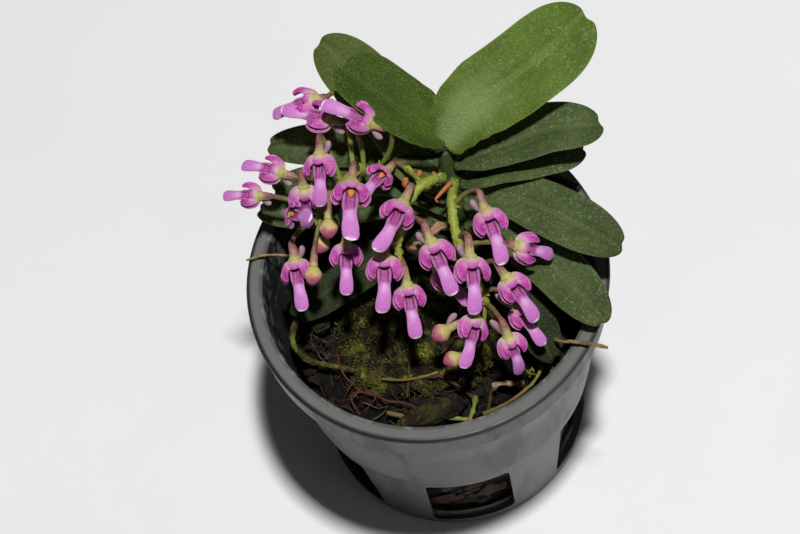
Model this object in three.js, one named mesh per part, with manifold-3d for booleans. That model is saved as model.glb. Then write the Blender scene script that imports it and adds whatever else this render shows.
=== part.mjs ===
// A miniature orchid in flower, in a small round plastic pot.
// Millimetres, +Z up. The origin is the centre of the pot's underside.
import * as THREE from 'three';
import { mergeVertices } from 'three/addons/utils/BufferGeometryUtils.js';
import Module from 'manifold-3d';

const wasm = await Module();
wasm.setup();

// Driving dimensions of the pot
const POT_HEIGHT = 44;
const RIM_RADIUS = 25;
const RIM_INNER_RADIUS = 22.6;
const COLLAR_HEIGHT = 5.2;
const SHOULDER_RADIUS = 23;
const FOOT_RADIUS = 19.1;
const WALL = 1.2;
const FLOOR = 1.4;
const SLOT_COUNT = 6;
const SLOT_WIDTH_DEGREES = 36;
const FIRST_SLOT_DEGREES = -94;
const SLOT_BOTTOM = 2.2;
const SLOT_TOP = 18.6;

// Clearance between pieces that rest on or touch each other
const GAP = 0.3;

// The fill
const FILL_TOP = 36;

// The plant leans towards the front. Its leaves and flowers are laid out on a tilted
// plane through the centre of the rim: right, up along the plane, and lift off it.
const PLANE_TILT = THREE.MathUtils.degToRad(28);
const PLANE_TURN = THREE.MathUtils.degToRad(-14);
const PLANE_CENTRE = new THREE.Vector3(0, 0, POT_HEIGHT);
const PLANE_LIFT = new THREE.Vector3(0, -Math.sin(PLANE_TILT), Math.cos(PLANE_TILT));
const PLANE_RIGHT = new THREE.Vector3(1, 0, 0).applyAxisAngle(PLANE_LIFT, PLANE_TURN);
const PLANE_UP = PLANE_LIFT.clone().cross(PLANE_RIGHT);

const object = new THREE.Group();
object.name = 'potted_orchid';

// Finishes
const finishes = {
  plastic: new THREE.MeshStandardMaterial({ color: 0x3a3c3d, roughness: 0.45, metalness: 0 }),
  fill: new THREE.MeshStandardMaterial({ color: 0x1d1712, roughness: 0.95, metalness: 0 }),
  bark: new THREE.MeshStandardMaterial({ color: 0x4a3428, roughness: 0.9, metalness: 0 }),
  moss: new THREE.MeshStandardMaterial({ color: 0x6f7a2a, roughness: 0.9, metalness: 0 }),
  root: new THREE.MeshStandardMaterial({ color: 0x7d7a3e, roughness: 0.7, metalness: 0 }),
  stem: new THREE.MeshStandardMaterial({ color: 0x5a6b33, roughness: 0.6, metalness: 0 }),
  leaf: new THREE.MeshStandardMaterial({ color: 0x3c5a2a, roughness: 0.5, metalness: 0 }),
  stalk: new THREE.MeshStandardMaterial({ color: 0x93a349, roughness: 0.5, metalness: 0 }),
  flower: new THREE.MeshStandardMaterial({ color: 0xc968b8, roughness: 0.5, metalness: 0 }),
};

// A point on the tilted plane, in the part's own frame
function lay([right, up, lift]) {
  return PLANE_CENTRE.clone()
    .addScaledVector(PLANE_RIGHT, right)
    .addScaledVector(PLANE_UP, up)
    .addScaledVector(PLANE_LIFT, lift);
}

function addPiece(name, geometry, finish) {
  const mesh = new THREE.Mesh(geometry, finishes[finish].clone());
  mesh.name = name;
  object.add(mesh);
  return mesh;
}

// A closed geometry as a solid for joining and cutting
function solidFrom(geometry) {
  const bare = geometry.clone();
  bare.deleteAttribute('normal');
  bare.deleteAttribute('uv');
  const merged = mergeVertices(bare, 1e-4);
  return new wasm.Manifold(new wasm.Mesh({
    numProp: 3,
    vertProperties: new Float32Array(merged.attributes.position.array),
    triVerts: new Uint32Array(merged.index.array),
  }));
}

function geometryFrom(solid) {
  const mesh = solid.getMesh();
  const geometry = new THREE.BufferGeometry();
  geometry.setAttribute('position', new THREE.BufferAttribute(mesh.vertProperties, 3));
  geometry.setIndex(new THREE.BufferAttribute(mesh.triVerts, 1));
  geometry.computeVertexNormals();
  return geometry;
}

// A round bar along a curve
function tubeAlong(curve, radius, steps, sides) {
  const section = new THREE.Shape();
  for (let i = 0; i < sides; i += 1) {
    const angle = (i / sides) * 2 * Math.PI;
    const x = radius * Math.cos(angle);
    const y = radius * Math.sin(angle);
    if (i === 0) section.moveTo(x, y);
    else section.lineTo(x, y);
  }
  section.closePath();
  return new THREE.ExtrudeGeometry(section, { steps, extrudePath: curve, curveSegments: 1 });
}

function smoothstep(low, high, value) {
  const x = Math.min(Math.max((value - low) / (high - low), 0), 1);
  return x * x * (3 - 2 * x);
}

// Pot: one moulded shell with a folded collar, cut through by slots near the foot
function makePot() {
  const shoulder = POT_HEIGHT - COLLAR_HEIGHT;
  const profile = [
    [0, 0],
    [FOOT_RADIUS - 0.4, 0],
    [FOOT_RADIUS, 0.4],
    [SHOULDER_RADIUS, shoulder - 1.2],
    [SHOULDER_RADIUS + 0.7, shoulder - 0.9],
    [SHOULDER_RADIUS + 0.8, shoulder],
    [RIM_RADIUS - 0.5, shoulder + 0.2],
    [RIM_RADIUS, POT_HEIGHT - 0.5],
    [RIM_RADIUS - 0.4, POT_HEIGHT],
    [RIM_INNER_RADIUS + 0.3, POT_HEIGHT],
    [RIM_INNER_RADIUS, POT_HEIGHT - 0.4],
    [SHOULDER_RADIUS - WALL + 0.1, shoulder - 0.4],
    [FOOT_RADIUS - WALL, FLOOR],
    [0, FLOOR],
  ];
  const shell = new THREE.LatheGeometry(profile.map(([r, z]) => new THREE.Vector2(r, z)), 48);
  shell.rotateX(Math.PI / 2);
  let solid = solidFrom(shell);
  const half = THREE.MathUtils.degToRad(SLOT_WIDTH_DEGREES / 2);
  const innerReach = FOOT_RADIUS - 3 * WALL;
  const outerReach = RIM_RADIUS;
  for (let i = 0; i < SLOT_COUNT; i += 1) {
    const sector = new THREE.Shape();
    sector.absarc(0, 0, outerReach, -half, half, false);
    sector.absarc(0, 0, innerReach, half, -half, true);
    sector.closePath();
    const cutter = new THREE.ExtrudeGeometry(sector, {
      depth: SLOT_TOP - SLOT_BOTTOM,
      bevelEnabled: false,
      curveSegments: 3,
    });
    cutter.rotateZ(THREE.MathUtils.degToRad(FIRST_SLOT_DEGREES + (i * 360) / SLOT_COUNT));
    cutter.translate(0, 0, SLOT_BOTTOM);
    solid = solid.subtract(solidFrom(cutter));
  }
  addPiece('pot', geometryFrom(solid), 'plastic');
}

// Inner radius of the pot's wall at a height
function innerRadius(z) {
  const shoulder = POT_HEIGHT - COLLAR_HEIGHT;
  const low = FOOT_RADIUS - WALL;
  const high = SHOULDER_RADIUS - WALL;
  return low + ((high - low) * (z - FLOOR)) / (shoulder - FLOOR);
}

// Fill: fine bark, level on top
function makeFill() {
  const foot = FLOOR + GAP;
  const side = 0.6;
  const rows = [
    [0, foot],
    [innerRadius(foot) - side, foot],
    [innerRadius(18) - side, 18],
    [innerRadius(FILL_TOP - 1.5) - side, FILL_TOP - 1.5],
    [18, FILL_TOP],
    [12, FILL_TOP],
    [6, FILL_TOP],
    [0, FILL_TOP],
  ];
  const geometry = new THREE.LatheGeometry(rows.map(([r, z]) => new THREE.Vector2(r, z)), 28);
  geometry.rotateX(Math.PI / 2);
  addPiece('potting_mix', geometry, 'fill');
}

// Moss: a low cushion that the stem stands on
const MOSS_CENTRE = [-2.5, -4.5];
const MOSS_REACH = [12.5, 9.5];
const MOSS_EDGE = 0.4;
const MOSS_HEIGHT = 2.6;

function makeMoss() {
  const geometry = new THREE.SphereGeometry(1, 20, 10);
  geometry.rotateX(Math.PI / 2);
  const position = geometry.attributes.position;
  for (let i = 0; i < position.count; i += 1) {
    const z = position.getZ(i);
    position.setXYZ(
      i,
      MOSS_CENTRE[0] + MOSS_REACH[0] * position.getX(i),
      MOSS_CENTRE[1] + MOSS_REACH[1] * position.getY(i),
      FILL_TOP + GAP + MOSS_EDGE + z * (z > 0 ? MOSS_HEIGHT : MOSS_EDGE),
    );
  }
  geometry.computeVertexNormals();
  addPiece('moss_cushion', geometry, 'moss');
}

// Bark chunks lying on the fill: centre, half sizes and turn in degrees
const barkChunks = [
  { name: 'bark_chunk_front', at: [-4, -17.6], half: [4.6, 1.5, 1.0], turn: 8 },
  { name: 'bark_chunk_left', at: [-16.4, 2.2], half: [1.4, 3.4, 1.0], turn: 12 },
  { name: 'bark_chunk_right', at: [15.2, -9.3], half: [2.2, 3.4, 1.2], turn: -28 },
  { name: 'bark_chunk_back', at: [-3, 14.0], half: [5.4, 3.0, 1.4], turn: 8 },
  { name: 'bark_chunk_back_right', at: [14, 8.6], half: [3.6, 3.0, 1.3], turn: 40 },
];
const CHUNK_SEED_RADIUS = 1.25;

function makeBark() {
  for (const chunk of barkChunks) {
    const geometry = new THREE.DodecahedronGeometry(CHUNK_SEED_RADIUS, 0);
    geometry.scale(...chunk.half);
    geometry.rotateZ(THREE.MathUtils.degToRad(chunk.turn));
    geometry.computeBoundingBox();
    const seat = FILL_TOP + GAP - geometry.boundingBox.min.z;
    geometry.translate(chunk.at[0], chunk.at[1], seat);
    addPiece(chunk.name, geometry, 'bark');
  }
}

// Roots and twigs: free strands on the fill and over the rim
const strands = [
  {
    name: 'green_root',
    finish: 'root',
    radius: 0.8,
    points: [
      [-19.4, 3.6, 37.4], [-20.2, -0.6, 37.4], [-19.4, -5.0, 37.5],
      [-17.2, -8.4, 37.5], [-14.2, -11.0, 37.4],
    ],
  },
  {
    name: 'curled_root',
    finish: 'bark',
    radius: 0.45,
    points: [[-10.4, -13.8, 36.9], [-12.2, -14.4, 37.2], [-13.8, -14.6, 37], [-13.8, -15.8, 36.9]],
  },
  {
    name: 'dry_stick',
    finish: 'bark',
    radius: 0.75,
    points: [[2.2, -15.9, 37.2], [5.2, -15.0, 37.6], [8.6, -15.6, 37.2]],
  },
  {
    name: 'bent_twig',
    finish: 'root',
    radius: 0.6,
    points: [[2.6, -18.4, 36.95], [6.0, -18.2, 37.2], [10.2, -16.6, 37.2], [12.6, -14.2, 36.95]],
  },
  {
    name: 'rim_root',
    finish: 'bark',
    radius: 0.5,
    points: [[16.2, -10.2, 39.8], [16.2, -12.8, 43.6], [18.0, -15.8, 45.3], [20.4, -18.6, 45.4]],
  },
  {
    name: 'rim_twig_left',
    finish: 'bark',
    radius: 0.5,
    points: [[-17.4, 8.0, 43.2], [-20.2, 7.8, 44.6], [-22.8, 7.4, 44.95], [-24.2, 7.0, 45.2]],
  },
  {
    name: 'back_root',
    finish: 'bark',
    radius: 0.6,
    points: [[14.6, 12.0, 39.8], [17.4, 11.2, 42.6], [20.4, 9.4, 45], [23.2, 6.6, 45.2]],
  },
];

function makeStrands() {
  for (const strand of strands) {
    const points = strand.points.map(([x, y, z]) => new THREE.Vector3(x, y, z));
    const curve = new THREE.CatmullRomCurve3(points);
    addPiece(strand.name, tubeAlong(curve, strand.radius, 8, 6), strand.finish);
  }
}

// Stem: it rises from the moss and leans back
const STEM_RADIUS = 1.4;
const stemCurve = new THREE.CatmullRomCurve3([
  lay([4.9, -0.8, -3.9]),
  lay([4.8, 4.3, -0.9]),
  lay([4.1, 9.8, 2.8]),
  lay([3.1, 14.8, 6.4]),
]);

function makeStem() {
  addPiece('stem', tubeAlong(stemCurve, STEM_RADIUS, 10, 8), 'stem');
}

// Leaves: the place along the stem, the greatest half width, the sideways tilt in degrees
// and the midrib's points on the tilted plane
const LEAF_THICKNESS = 1.3;
const LEAF_CHANNEL = 0.22;
const leaves = [
  {
    name: 'leaf_right_1', half: 4.8, tilt: 0,
    rib: [[3.6, 15.8, 7.7], [7.4, 21.8, 11.2], [13.3, 27.9, 11.6], [20.8, 35.4, 9.2]],
  },
  {
    name: 'leaf_right_2', on: 0.9, half: 3.9, tilt: -28,
    rib: [[9, 16.4, 8.3], [15.7, 19, 9.1], [23.5, 19.8, 7.8]],
  },
  {
    name: 'leaf_right_3', on: 0.78, half: 3.6, tilt: -28,
    rib: [[9.2, 14, 6.6], [15.1, 15.8, 5.8], [21.3, 17.1, 3.6]],
  },
  {
    name: 'leaf_right_4', on: 0.66, half: 3.8, tilt: -14,
    rib: [[10.2, 10.6, 6.2], [17.6, 7.7, 9], [26, 3.2, 10]],
  },
  {
    name: 'leaf_right_5', on: 0.53, half: 3.7, tilt: -10,
    rib: [[10.2, 6.2, 4.6], [17, 0.8, 7], [23.9, -6.6, 8.6]],
  },
  {
    name: 'leaf_right_6', on: 0.37, half: 3.0, tilt: -8,
    rib: [[9.4, 1.6, 2.2], [13.6, -4.8, 4], [17, -12, 4.2]],
  },
  {
    name: 'leaf_left_1', half: 4.0, tilt: 6,
    rib: [[1.6, 16.6, 6.9], [-1.6, 21, 9.4], [-6.2, 24.6, 10.2], [-11.9, 28.1, 9.8]],
  },
  {
    name: 'leaf_left_2', on: 0.78, half: 4.3, tilt: 0,
    rib: [[-1.6, 14.9, 4.9], [-4.9, 21.2, 4.8], [-9.2, 26.6, 3.1], [-14.6, 31.9, 0.6]],
  },
  {
    name: 'leaf_left_3', on: 0.66, half: 3.8, tilt: 0,
    rib: [[-4.6, 15.4, 2.6], [-13.1, 16.9, 0.5], [-21.9, 16.6, -2.4]],
  },
  {
    name: 'leaf_left_4', on: 0.56, half: 3.4, tilt: 10,
    rib: [[-4.6, 12.3, 1], [-13.1, 12.4, -0.5], [-21.5, 12, -3.4]],
  },
  {
    name: 'leaf_left_5', on: 0.45, half: 3.2, tilt: 14,
    rib: [[-4.6, 9, -0.4], [-14.4, 8.1, -1.9], [-23.3, 7.6, -3.6]],
  },
  {
    name: 'leaf_left_6', on: 0.3, half: 3.0, tilt: 10,
    rib: [[-3.4, 3.6, -1.6], [-11.2, -0.8, -2.6], [-18.6, -6, -4.4]],
  },
];

// Share of the full half width, from the base to the rounded tip
function leafWidth(s) {
  const rise = 0.36 + 0.64 * smoothstep(0, 0.55, s);
  const tip = Math.max((s - 0.62) / 0.38, 0);
  const foot = Math.max(1 - s / 0.05, 0);
  return rise * Math.sqrt(Math.max(1 - tip ** 2.4, 0)) * Math.sqrt(1 - foot * foot);
}

// The midrib of the two newest leaves starts just past the stem's end, and that of each
// older leaf a small gap away from the stem's side
function midrib(leaf) {
  const points = leaf.rib.map(lay);
  if (leaf.on === undefined) return new THREE.CatmullRomCurve3(points);
  const root = stemCurve.getPoint(leaf.on);
  const along = stemCurve.getTangent(leaf.on);
  const away = points[0].clone().sub(root);
  away.addScaledVector(along, -away.dot(along)).normalize();
  points.unshift(root.addScaledVector(away, STEM_RADIUS + 2 * GAP));
  return new THREE.CatmullRomCurve3(points);
}

function makeLeaf(leaf) {
  const curve = midrib(leaf);
  const geometry = new THREE.SphereGeometry(1, 10, 12);
  const position = geometry.attributes.position;
  for (let i = 0; i < position.count; i += 1) {
    const y = THREE.MathUtils.clamp(position.getY(i), -1, 1);
    const ring = Math.sqrt(Math.max(1 - y * y, 0));
    const across = ring > 1e-6 ? position.getX(i) / ring : 0;
    const through = ring > 1e-6 ? position.getZ(i) / ring : 0;
    const s = 0.5 * (1 - y);
    const point = curve.getPoint(s);
    const tangent = curve.getTangent(s);
    const face = PLANE_LIFT.clone().applyAxisAngle(tangent, THREE.MathUtils.degToRad(leaf.tilt));
    const side = face.clone().cross(tangent).normalize();
    const normal = tangent.clone().cross(side);
    const width = leaf.half * leafWidth(s);
    const thickness = LEAF_THICKNESS * Math.min(1, width / (0.3 * leaf.half));
    point.addScaledVector(side, width * across);
    point.addScaledVector(normal, 0.5 * thickness * through + LEAF_CHANNEL * width * Math.abs(across));
    position.setXYZ(i, point.x, point.y, point.z);
  }
  geometry.computeVertexNormals();
  addPiece(leaf.name, geometry, 'leaf');
}

// Flower stalks: axes on the tilted plane
const STALK_RADIUS = 0.62;
const stalks = {
  left: [
    [1, 14.6, 9.3], [-2, 14.4, 8.6], [-6.2, 13.8, 7.6],
    [-9.6, 13.3, 7], [-12.6, 11.2, 6.2], [-14.6, 7.2, 4.8],
  ],
  middle: [
    [2.2, 12.8, 8.4], [0.7, 12.5, 9.8], [-1.6, 10.9, 10.6],
    [-3.3, 7.8, 10.6], [-3.9, 4.5, 10.2], [-3.8, 2.6, 9.6],
  ],
  right: [
    [3.6, 12.4, 7.2], [3.3, 9.8, 9.4], [3.7, 5.6, 10.4],
    [5.2, 2, 9.8], [6.9, -1.6, 8.8], [7.8, -4, 8],
  ],
};
const stalkCurves = {};

function makeStalks() {
  for (const [side, points] of Object.entries(stalks)) {
    stalkCurves[side] = new THREE.CatmullRomCurve3(points.map(lay));
    addPiece(`flower_stalk_${side}`, tubeAlong(stalkCurves[side], STALK_RADIUS, 12, 6), 'stalk');
  }
}

// Open flowers: place of the cup on the tilted plane, direction of the lip in degrees
// from the right, size against the usual flower, stalk and the place along it
const flowers = [
  { at: [-14.7, 22.3, 7.0], lip: 185, size: 0.86, stalk: 'left', along: 0.62 },
  { at: [-12.7, 19.1, 8.6], lip: 166, size: 0.95, stalk: 'left', along: 0.54 },
  { at: [-7.3, 19.3, 12.6], lip: 160, size: 1.0, stalk: 'left', along: 0.42 },
  { at: [-14.3, 15.8, 9.8], lip: 273, size: 0.95, stalk: 'left', along: 0.72 },
  { at: [-19.6, 12.9, 6.0], lip: 162, size: 0.8, stalk: 'left', along: 0.82 },
  { at: [-22.5, 9.9, 4.5], lip: 174, size: 0.72, stalk: 'left', along: 0.92 },
  { at: [-16.5, 11.6, 8.2], lip: 275, size: 0.72, stalk: 'left', along: 0.86 },
  { at: [-17.8, 8.5, 7.0], lip: 309, size: 0.66, stalk: 'left', along: 0.95 },
  { at: [-10.0, 12.2, 11.8], lip: 266, size: 1.1, stalk: 'left', along: 0.58 },
  { at: [-5.6, 13.6, 9.6], lip: 225, size: 0.8, stalk: 'middle', along: 0.3 },
  { at: [-3.1, 9.7, 13.6], lip: 243, size: 1.1, stalk: 'middle', along: 0.46 },
  { at: [-10.8, 3.9, 8.8], lip: 270, size: 0.95, stalk: 'left', along: 0.76 },
  { at: [-17.8, 1.8, 4.4], lip: 281, size: 1.0, stalk: 'left', along: 0.98 },
  { at: [-5.7, 2.3, 11.8], lip: 270, size: 1.05, stalk: 'middle', along: 0.8 },
  { at: [-2.7, -1.6, 9.6], lip: 279, size: 1.0, stalk: 'middle', along: 0.98 },
  { at: [0.5, 4.1, 13.2], lip: 293, size: 1.05, stalk: 'middle', along: 0.62 },
  { at: [1.4, 0.6, 7.6], lip: 309, size: 0.85, stalk: 'right', along: 0.62 },
  { at: [5.6, 2.1, 13.2], lip: 275, size: 1.05, stalk: 'right', along: 0.46 },
  { at: [7.6, 8.3, 13.0], lip: 290, size: 1.05, stalk: 'right', along: 0.24 },
  { at: [12.2, 4.0, 12.4], lip: 346, size: 0.85, stalk: 'right', along: 0.5 },
  { at: [10.4, -0.5, 12.4], lip: 307, size: 1.0, stalk: 'right', along: 0.74 },
  { at: [11.9, -4.4, 8.6], lip: 304, size: 0.86, stalk: 'right', along: 0.86 },
  { at: [6.2, -5.7, 11.2], lip: 259, size: 0.97, stalk: 'right', along: 0.92 },
  { at: [10.6, -8.2, 11.2], lip: 294, size: 0.85, stalk: 'right', along: 0.98 },
];

const buds = [
  { at: [-13.2, 7.0, 7.6], lip: 270, size: 1.0, stalk: 'left', along: 0.9 },
  { at: [-14.6, 4.6, 4.4], lip: 256, size: 0.8, stalk: 'left', along: 0.96 },
  { at: [-15.2, 0.4, 7.2], lip: 272, size: 0.9, stalk: 'left', along: 0.94 },
  { at: [2.8, -7.3, 9.6], lip: 210, size: 1.1, stalk: 'right', along: 0.89 },
  { at: [4.3, -11.0, 6.6], lip: 206, size: 1.0, stalk: 'right', along: 0.99 },
];

// A smooth egg: centre and half sizes in the flower's own frame
// (across, up towards the ovary, out towards the viewer)
function egg(centre, half, segments, rows) {
  const geometry = new THREE.SphereGeometry(1, segments, rows);
  geometry.scale(...half);
  geometry.translate(...centre);
  return geometry;
}

// The flower's own frame stands on the tilted plane, with the lip along -Y
function flowerFrame({ at, lip, size }) {
  const angle = THREE.MathUtils.degToRad(lip);
  const up = PLANE_RIGHT.clone().multiplyScalar(-Math.cos(angle));
  up.addScaledVector(PLANE_UP, -Math.sin(angle));
  const across = up.clone().cross(PLANE_LIFT);
  const matrix = new THREE.Matrix4().makeBasis(across, up, PLANE_LIFT.clone());
  matrix.scale(new THREE.Vector3(size, size, size));
  matrix.setPosition(lay(at));
  return matrix;
}

// The pedicel leaves its stalk and bends into the back of the cup
const PEDICEL_RADIUS = 0.4;

function pedicel(flower, matrix) {
  const curve = stalkCurves[flower.stalk];
  const root = curve.getPoint(flower.along);
  const along = curve.getTangent(flower.along);
  const cup = new THREE.Vector3(0, 0, -0.2).applyMatrix4(matrix);
  const behind = new THREE.Vector3(0, 2.2, -0.8).applyMatrix4(matrix);
  const away = behind.clone().sub(root);
  away.addScaledVector(along, -away.dot(along)).normalize();
  const start = root.clone().addScaledVector(away, STALK_RADIUS + PEDICEL_RADIUS + 0.1);
  const path = new THREE.QuadraticBezierCurve3(start, behind, cup);
  return tubeAlong(path, PEDICEL_RADIUS, 5, 5);
}

function makeFlower(name, flower) {
  const matrix = flowerFrame(flower);
  const hood = egg([0, -1.6, 0.1], [2.2, 1.75, 1.2], 8, 5);
  const lip = egg([0, -4.6, 0.3], [1.0, 2.4, 0.45], 6, 5);
  const spur = egg([-0.45, 0.7, -0.6], [0.65, 1.1, 0.6], 6, 4);
  let solid = solidFrom(pedicel(flower, matrix));
  for (const petal of [hood, lip, spur]) {
    petal.applyMatrix4(matrix);
    solid = solid.add(solidFrom(petal));
  }
  addPiece(name, geometryFrom(solid), 'flower');
}

function makeBud(name, bud) {
  const matrix = flowerFrame(bud);
  const tip = egg([0, -1.2, 0], [1.15, 1.7, 1.15], 8, 5);
  tip.applyMatrix4(matrix);
  const solid = solidFrom(pedicel(bud, matrix)).add(solidFrom(tip));
  addPiece(name, geometryFrom(solid), 'flower');
}

makePot();
makeFill();
makeMoss();
makeBark();
makeStrands();
makeStem();
leaves.forEach(makeLeaf);
makeStalks();
flowers.forEach((flower, index) => makeFlower(`flower_${index + 1}`, flower));
buds.forEach((bud, index) => makeBud(`bud_${index + 1}`, bud));

export default object;
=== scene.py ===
import math
import random

import bmesh
import bpy
from mathutils import Matrix, Vector, noise


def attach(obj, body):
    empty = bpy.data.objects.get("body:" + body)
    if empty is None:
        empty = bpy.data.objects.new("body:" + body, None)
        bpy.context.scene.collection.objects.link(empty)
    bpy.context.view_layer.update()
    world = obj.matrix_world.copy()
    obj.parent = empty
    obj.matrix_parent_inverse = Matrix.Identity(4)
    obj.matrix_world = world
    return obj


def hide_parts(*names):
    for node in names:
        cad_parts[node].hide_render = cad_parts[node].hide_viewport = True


# A miniature orchid in flower, in a small dark plastic pot.
# Measures are in millimetres until a mesh is finished, then in metres.
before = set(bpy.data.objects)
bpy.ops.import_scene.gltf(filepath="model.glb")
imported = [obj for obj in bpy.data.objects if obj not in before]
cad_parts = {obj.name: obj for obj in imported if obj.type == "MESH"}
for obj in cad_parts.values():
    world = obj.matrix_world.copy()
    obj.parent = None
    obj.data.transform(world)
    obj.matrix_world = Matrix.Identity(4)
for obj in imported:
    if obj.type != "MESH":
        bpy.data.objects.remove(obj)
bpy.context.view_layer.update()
MM = 0.001
draw = random.Random(11)

# Pot and fill
POT_HEIGHT = 44.0
RIM_RADIUS = 25.0
RIM_INNER_RADIUS = 22.6
SHOULDER = 38.8
SHOULDER_RADIUS = 23.0
FOOT_RADIUS = 19.1
WALL = 1.2
FLOOR = 1.4
SLOT_COUNT = 6
SLOT_WIDTH = 12.1
SLOT_BOTTOM = 2.2
SLOT_TOP = 18.6
FIRST_SLOT_DEGREES = -94
FILL_TOP = 36.0

# How many small pieces are strewn
CRUMBS = 300
CRUMBS_IN_SLOTS = 420
MOSS_SPOTS = 620
FIBRES = 230
MOSS_STEMS = 70
FINE_ROOTS = 15
TUFT_BLADES = 9
FULL_TURN = 2 * math.pi

# The plant lies on a tilted plane through the centre of the rim
PLANE_TILT = math.radians(28)
PLANE_TURN = math.radians(-14)
PLANE_CENTRE = Vector((0, 0, POT_HEIGHT))
PLANE_LIFT = Vector((0, -math.sin(PLANE_TILT), math.cos(PLANE_TILT)))
PLANE_RIGHT = Matrix.Rotation(PLANE_TURN, 3, PLANE_LIFT) @ Vector((1, 0, 0))
PLANE_UP = PLANE_LIFT.cross(PLANE_RIGHT)


def lay(right, up, lift):
    """A point on the tilted plane, in the part's own frame."""
    return PLANE_CENTRE + PLANE_RIGHT * right + PLANE_UP * up + PLANE_LIFT * lift


def smoothstep(low, high, value):
    x = min(max((value - low) / (high - low), 0.0), 1.0)
    return x * x * (3 - 2 * x)


def blend(a, b, share):
    return a + (b - a) * share


def on_path(points, s):
    """A smooth way through the points; s runs from 0 to 1."""
    spans = len(points) - 1
    place = min(max(s, 0.0), 1.0) * spans
    i = min(int(place), spans - 1)
    t = place - i
    b, c = points[i], points[i + 1]
    a = points[i - 1] if i > 0 else 2 * b - c
    d = points[i + 2] if i + 2 <= spans else 2 * c - b
    return 0.5 * (2 * b + (c - a) * t + (2 * a - 5 * b + 4 * c - d) * t * t
                  + (3 * b - a - 3 * c + d) * t ** 3)


def along_path(points, s):
    step = 0.01
    return (on_path(points, min(s + step, 1)) - on_path(points, max(s - step, 0))).normalized()


def profile(stops, s):
    """A value that runs smoothly through (place, value) stops."""
    for (low, first), (high, second) in zip(stops, stops[1:]):
        if s <= high:
            return blend(first, second, smoothstep(low, high, s))
    return stops[-1][1]


# Modelling

def pick_only(piece):
    bpy.ops.object.select_all(action="DESELECT")
    piece.select_set(True)
    bpy.context.view_layer.objects.active = piece


def named(name):
    piece = bpy.context.object
    piece.name = piece.data.name = name
    return piece


def basic(name, make, **settings):
    """One of the basic shapes, as the only piece picked."""
    bpy.ops.object.select_all(action="DESELECT")
    make(**settings)
    return named(name)


def mark(piece, along, across):
    """Stores, at each point, how far along and across the piece it lies."""
    for name, values in (("along", along), ("across", across)):
        own = piece.data.attributes
        attribute = own.get(name) or own.new(name, "FLOAT", "POINT")
        attribute.data.foreach_set("value", values)


def outward(piece):
    pick_only(piece)
    bpy.ops.object.mode_set(mode="EDIT")
    bpy.ops.mesh.select_all(action="SELECT")
    bpy.ops.mesh.normals_make_consistent(inside=False)
    bpy.ops.object.mode_set(mode="OBJECT")
    bpy.ops.object.shade_smooth()


def skin(name, sides, rings, place):
    """A closed skin round an axis. place(s, angle) gives each point, s from one end to the other."""
    piece = basic(name, bpy.ops.mesh.primitive_uv_sphere_add, segments=sides, ring_count=rings, radius=1)
    along = []
    across = []
    for vertex in piece.data.vertices:
        s = math.acos(max(-1.0, min(1.0, vertex.co.z))) / math.pi
        angle = math.atan2(vertex.co.y, vertex.co.x)
        vertex.co = place(s, angle)
        along.append(s)
        across.append(math.cos(angle))
    mark(piece, along, across)
    outward(piece)
    return piece


def guide_for(points):
    """The axis that a path follows least, to turn its rings by."""
    reach = (points[-1] - points[0]).normalized()
    return min((Vector((1, 0, 0)), Vector((0, 1, 0)), Vector((0, 0, 1))), key=lambda v: abs(v.dot(reach)))


def ring_sides(points, guide, t):
    """The two directions that span a ring round a path."""
    tangent = along_path(points, t)
    side = tangent.cross(guide).normalized()
    return side, side.cross(tangent)


def between_caps(s, rings):
    """The way along a bar whose first and last rings close its ends."""
    return min(max((s - 1 / rings) / (1 - 2 / rings), 0.0), 1.0)


def bar(name, points, radius, sides=10, rings=16, rough=0.0, grain=1.5):
    """A round bar along a path; radius(t) gives its thickness there."""
    guide = guide_for(points)

    def place(s, angle):
        t = between_caps(s, rings)
        side, other = ring_sides(points, guide, t)
        r = radius(t) if 0 < s < 1 else 0.0
        outline = side * math.cos(angle) + other * math.sin(angle)
        point = on_path(points, t) + outline * r
        if rough:
            point += outline * rough * r * noise.noise(point * grain)
        return point

    return skin(name, sides, rings, place)


def petal(name, across_count, along_count, thickness, place, outer=1):
    """A thin curved blade. place(u, v) gives each point, u from -1 to 1 across, v from 0 to 1 along."""
    piece = basic(name, bpy.ops.mesh.primitive_grid_add,
                  x_subdivisions=across_count, y_subdivisions=along_count, size=2)
    along = []
    across = []
    for vertex in piece.data.vertices:
        u, v = vertex.co.x, 0.5 * (vertex.co.y + 1)
        vertex.co = place(u, v)
        along.append(v)
        across.append(u * outer)
    mark(piece, along, across)
    finish_with(piece, "SOLIDIFY", thickness=thickness, offset=0)
    finish_with(piece, "SUBSURF", levels=1, render_levels=1)
    outward(piece)
    return piece


def finish_with(piece, kind, **settings):
    """Adds a modifier and applies it."""
    pick_only(piece)
    modifier = piece.modifiers.new(kind.lower(), kind)
    for name, value in settings.items():
        setattr(modifier, name, value)
    bpy.ops.object.modifier_apply(modifier=modifier.name)


def coat(piece, *materials):
    piece.data.materials.clear()
    for material in materials:
        piece.data.materials.append(material)
    return piece


def join(name, pieces):
    bpy.ops.object.select_all(action="DESELECT")
    for piece in pieces:
        piece.select_set(True)
    bpy.context.view_layer.objects.active = pieces[0]
    if len(pieces) > 1:
        bpy.ops.object.join()
    return named(name)


def copy_of(master, name, matrix):
    piece = master.copy()
    piece.data = master.data.copy()
    piece.name = piece.data.name = name
    bpy.context.collection.objects.link(piece)
    piece.data.transform(matrix)
    return piece


def put_away(*pieces):
    for piece in pieces:
        bpy.data.objects.remove(piece, do_unlink=True)


def from_bmesh(name, whole):
    mesh = bpy.data.meshes.new(name)
    whole.to_mesh(mesh)
    whole.free()
    piece = bpy.data.objects.new(name, mesh)
    bpy.context.collection.objects.link(piece)
    return piece


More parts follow.
